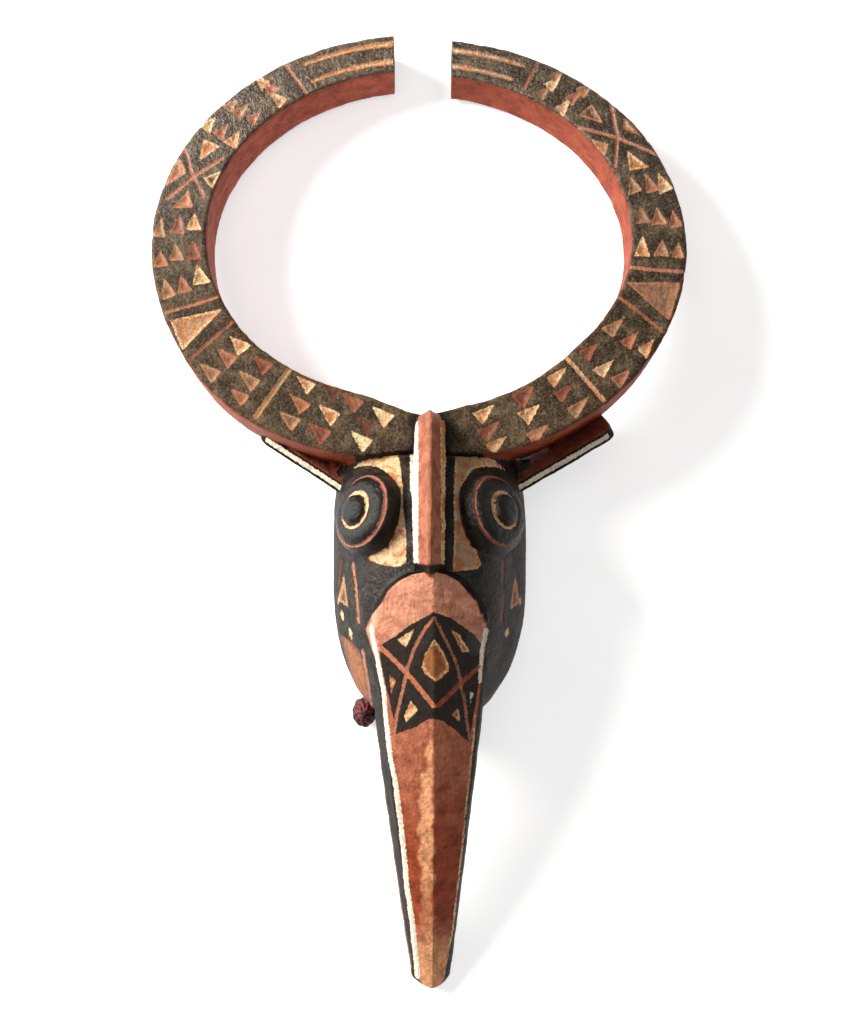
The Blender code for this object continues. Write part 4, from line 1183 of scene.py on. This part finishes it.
# %% Winding the knot
knot_low, knot_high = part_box("fibre_knot")
knot_middle = (knot_low + knot_high) / 2
knot_half = (knot_high - knot_low) / 2
shape = bmesh.new()
bmesh.ops.create_icosphere(shape, subdivisions=5, radius=1.0)
for corner in shape.verts:
    p = corner.co.copy()
    around = math.atan2(p.y, p.x)
    strands = 0.035 * math.sin(9 * around + 7 * p.z) + 0.030 * math.sin(26 * p.z - 4 * around)
    lumps = 0.06 * noise.noise(p * 2.3 + Vector((5, 1, 2)))
    corner.co = p * (0.93 + strands + lumps)
for corner in shape.verts:
    corner.co = knot_middle + Vector(c * h for c, h in zip(corner.co, knot_half))
    corner.co = Vector(min(max(c, a), b) for c, a, b in zip(corner.co, knot_low, knot_high))
knot = keep("bound_fibre_knot", shape, ["fibre"])

# %% Dyed fibre
FIBRE_DARK, FIBRE_RED, FIBRE_LIGHT = linear("#2a0606"), linear("#641313"), linear("#8a2a22")
tree, shader, place = start(bpy.data.materials["fibre"])
strand = spots(900, 4, 0.7)
cloudy = spots(160, 3, 0.6)
colour = colours(ramp(cloudy, 0.4, 0.62), FIBRE_DARK, FIBRE_RED)
colour = colours(ramp(strand, 0.56, 0.7, 0.0, 0.5), colour, FIBRE_LIGHT)
tree.links.new(colour, shader.inputs["Base Color"])
tree.links.new(ramp(strand, 0.3, 0.7, 0.45, 0.7), shader.inputs["Roughness"])
bump = add(tree, "ShaderNodeBump", [("Height", strand)], in_0=0.7, in_1=0.0006)
tree.links.new(bump.outputs[0], shader.inputs["Normal"])
knot.data.polygons.foreach_set("use_smooth", np.ones(len(knot.data.polygons), bool))
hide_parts("fibre_knot")
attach(knot, "root")
print("knot faces:", len(knot.data.polygons))

# %% [markdown]
# ## The studio
#
# The mask lies on a pale plain sheet. The sheet glows a little, so it stays nearly white while
# the mask keeps its dark colours.

# %% The floor
PAPER_GREY, PAPER_WHITE, PAPER_GLOW = linear("#f4f3f3"), linear("#fafafa"), 0.62
shape = bmesh.new()
bmesh.ops.create_grid(shape, x_segments=1, y_segments=1, size=6.0)
bmesh.ops.translate(shape, vec=(0, 0, min(cad_low.z, 0.0) - 0.0002), verts=shape.verts)
floor = keep("studio_floor", shape, ["paper"])
tree, shader, place = start(bpy.data.materials["paper"])
cloud = colours(ramp(spots(6, 2, 0.5), 0.3, 0.7), PAPER_GREY, PAPER_WHITE)
for socket in ("Base Color", "Emission Color"):
    tree.links.new(cloud, shader.inputs[socket])
for socket, value in (("Roughness", 0.9), ("Emission Strength", PAPER_GLOW)):
    shader.inputs[socket].default_value = value
print("floor at mm:", round(1000 * (min(cad_low.z, 0.0) - 0.0002), 2))

# %% [markdown]
# ## Light and camera
#
# A broad soft light stands to the upper left like a window, so shadows fall to the right and
# below. A weak one overhead and an even white room fill them. The camera looks straight down
# from 1.3 metres, from the same point and at the same scale as the drawing sheet.

# %% Lamps
LAMP_AIM, ROOM_LIGHT = Vector((0, 0, 0.05)), 0.17
# Name, place, size across in metres, power in watts and colour.
LAMPS = (("window", (-2.05, 1.1, 1.45), 1.3, 163, (1.0, 0.985, 0.96)),
         ("overhead", (0.2, 0.2, 2.6), 2.6, 14, (1, 1, 1)))
for name, spot, size, power, tint in LAMPS:
    data = bpy.data.lights.new(name, "AREA")
    data.shape, data.size, data.energy, data.color = "DISK", size, power, tint
    lamp = bpy.data.objects.new(name, data)
    lamp.location = spot
    lamp.rotation_euler = (LAMP_AIM - Vector(spot)).to_track_quat("-Z", "Y").to_euler()
    bpy.context.scene.collection.objects.link(lamp)
    print(name, "lamp:", power, "W")
world = bpy.data.worlds.new("white_room")
world.use_nodes = True
world.node_tree.nodes["Background"].inputs[0].default_value = (1, 1, 1, 1)
world.node_tree.nodes["Background"].inputs[1].default_value = ROOM_LIGHT
bpy.context.scene.world = world
bpy.context.scene.view_settings.view_transform = "Standard"

# %% The camera
SENSOR_HEIGHT, LENS = 36.0, 50.0
camera_data = bpy.data.cameras.new("overhead_camera")
camera_data.sensor_fit, camera_data.sensor_height, camera_data.lens = "VERTICAL", SENSOR_HEIGHT, LENS
camera = bpy.data.objects.new("overhead_camera", camera_data)
camera.location = (*SHEET_OVER, SHEET_HEIGHT)
bpy.context.scene.collection.objects.link(camera)
bpy.context.scene.camera = camera
print("camera at m:", [round(v, 3) for v in camera.location])

# %% [markdown]
# ## Last look at the sizes
# The finished mask has to fill the same box as the CAD piece. Here the scene is only brought up to
# date.

# %% Bringing the scene up to date
bpy.context.view_layer.update()
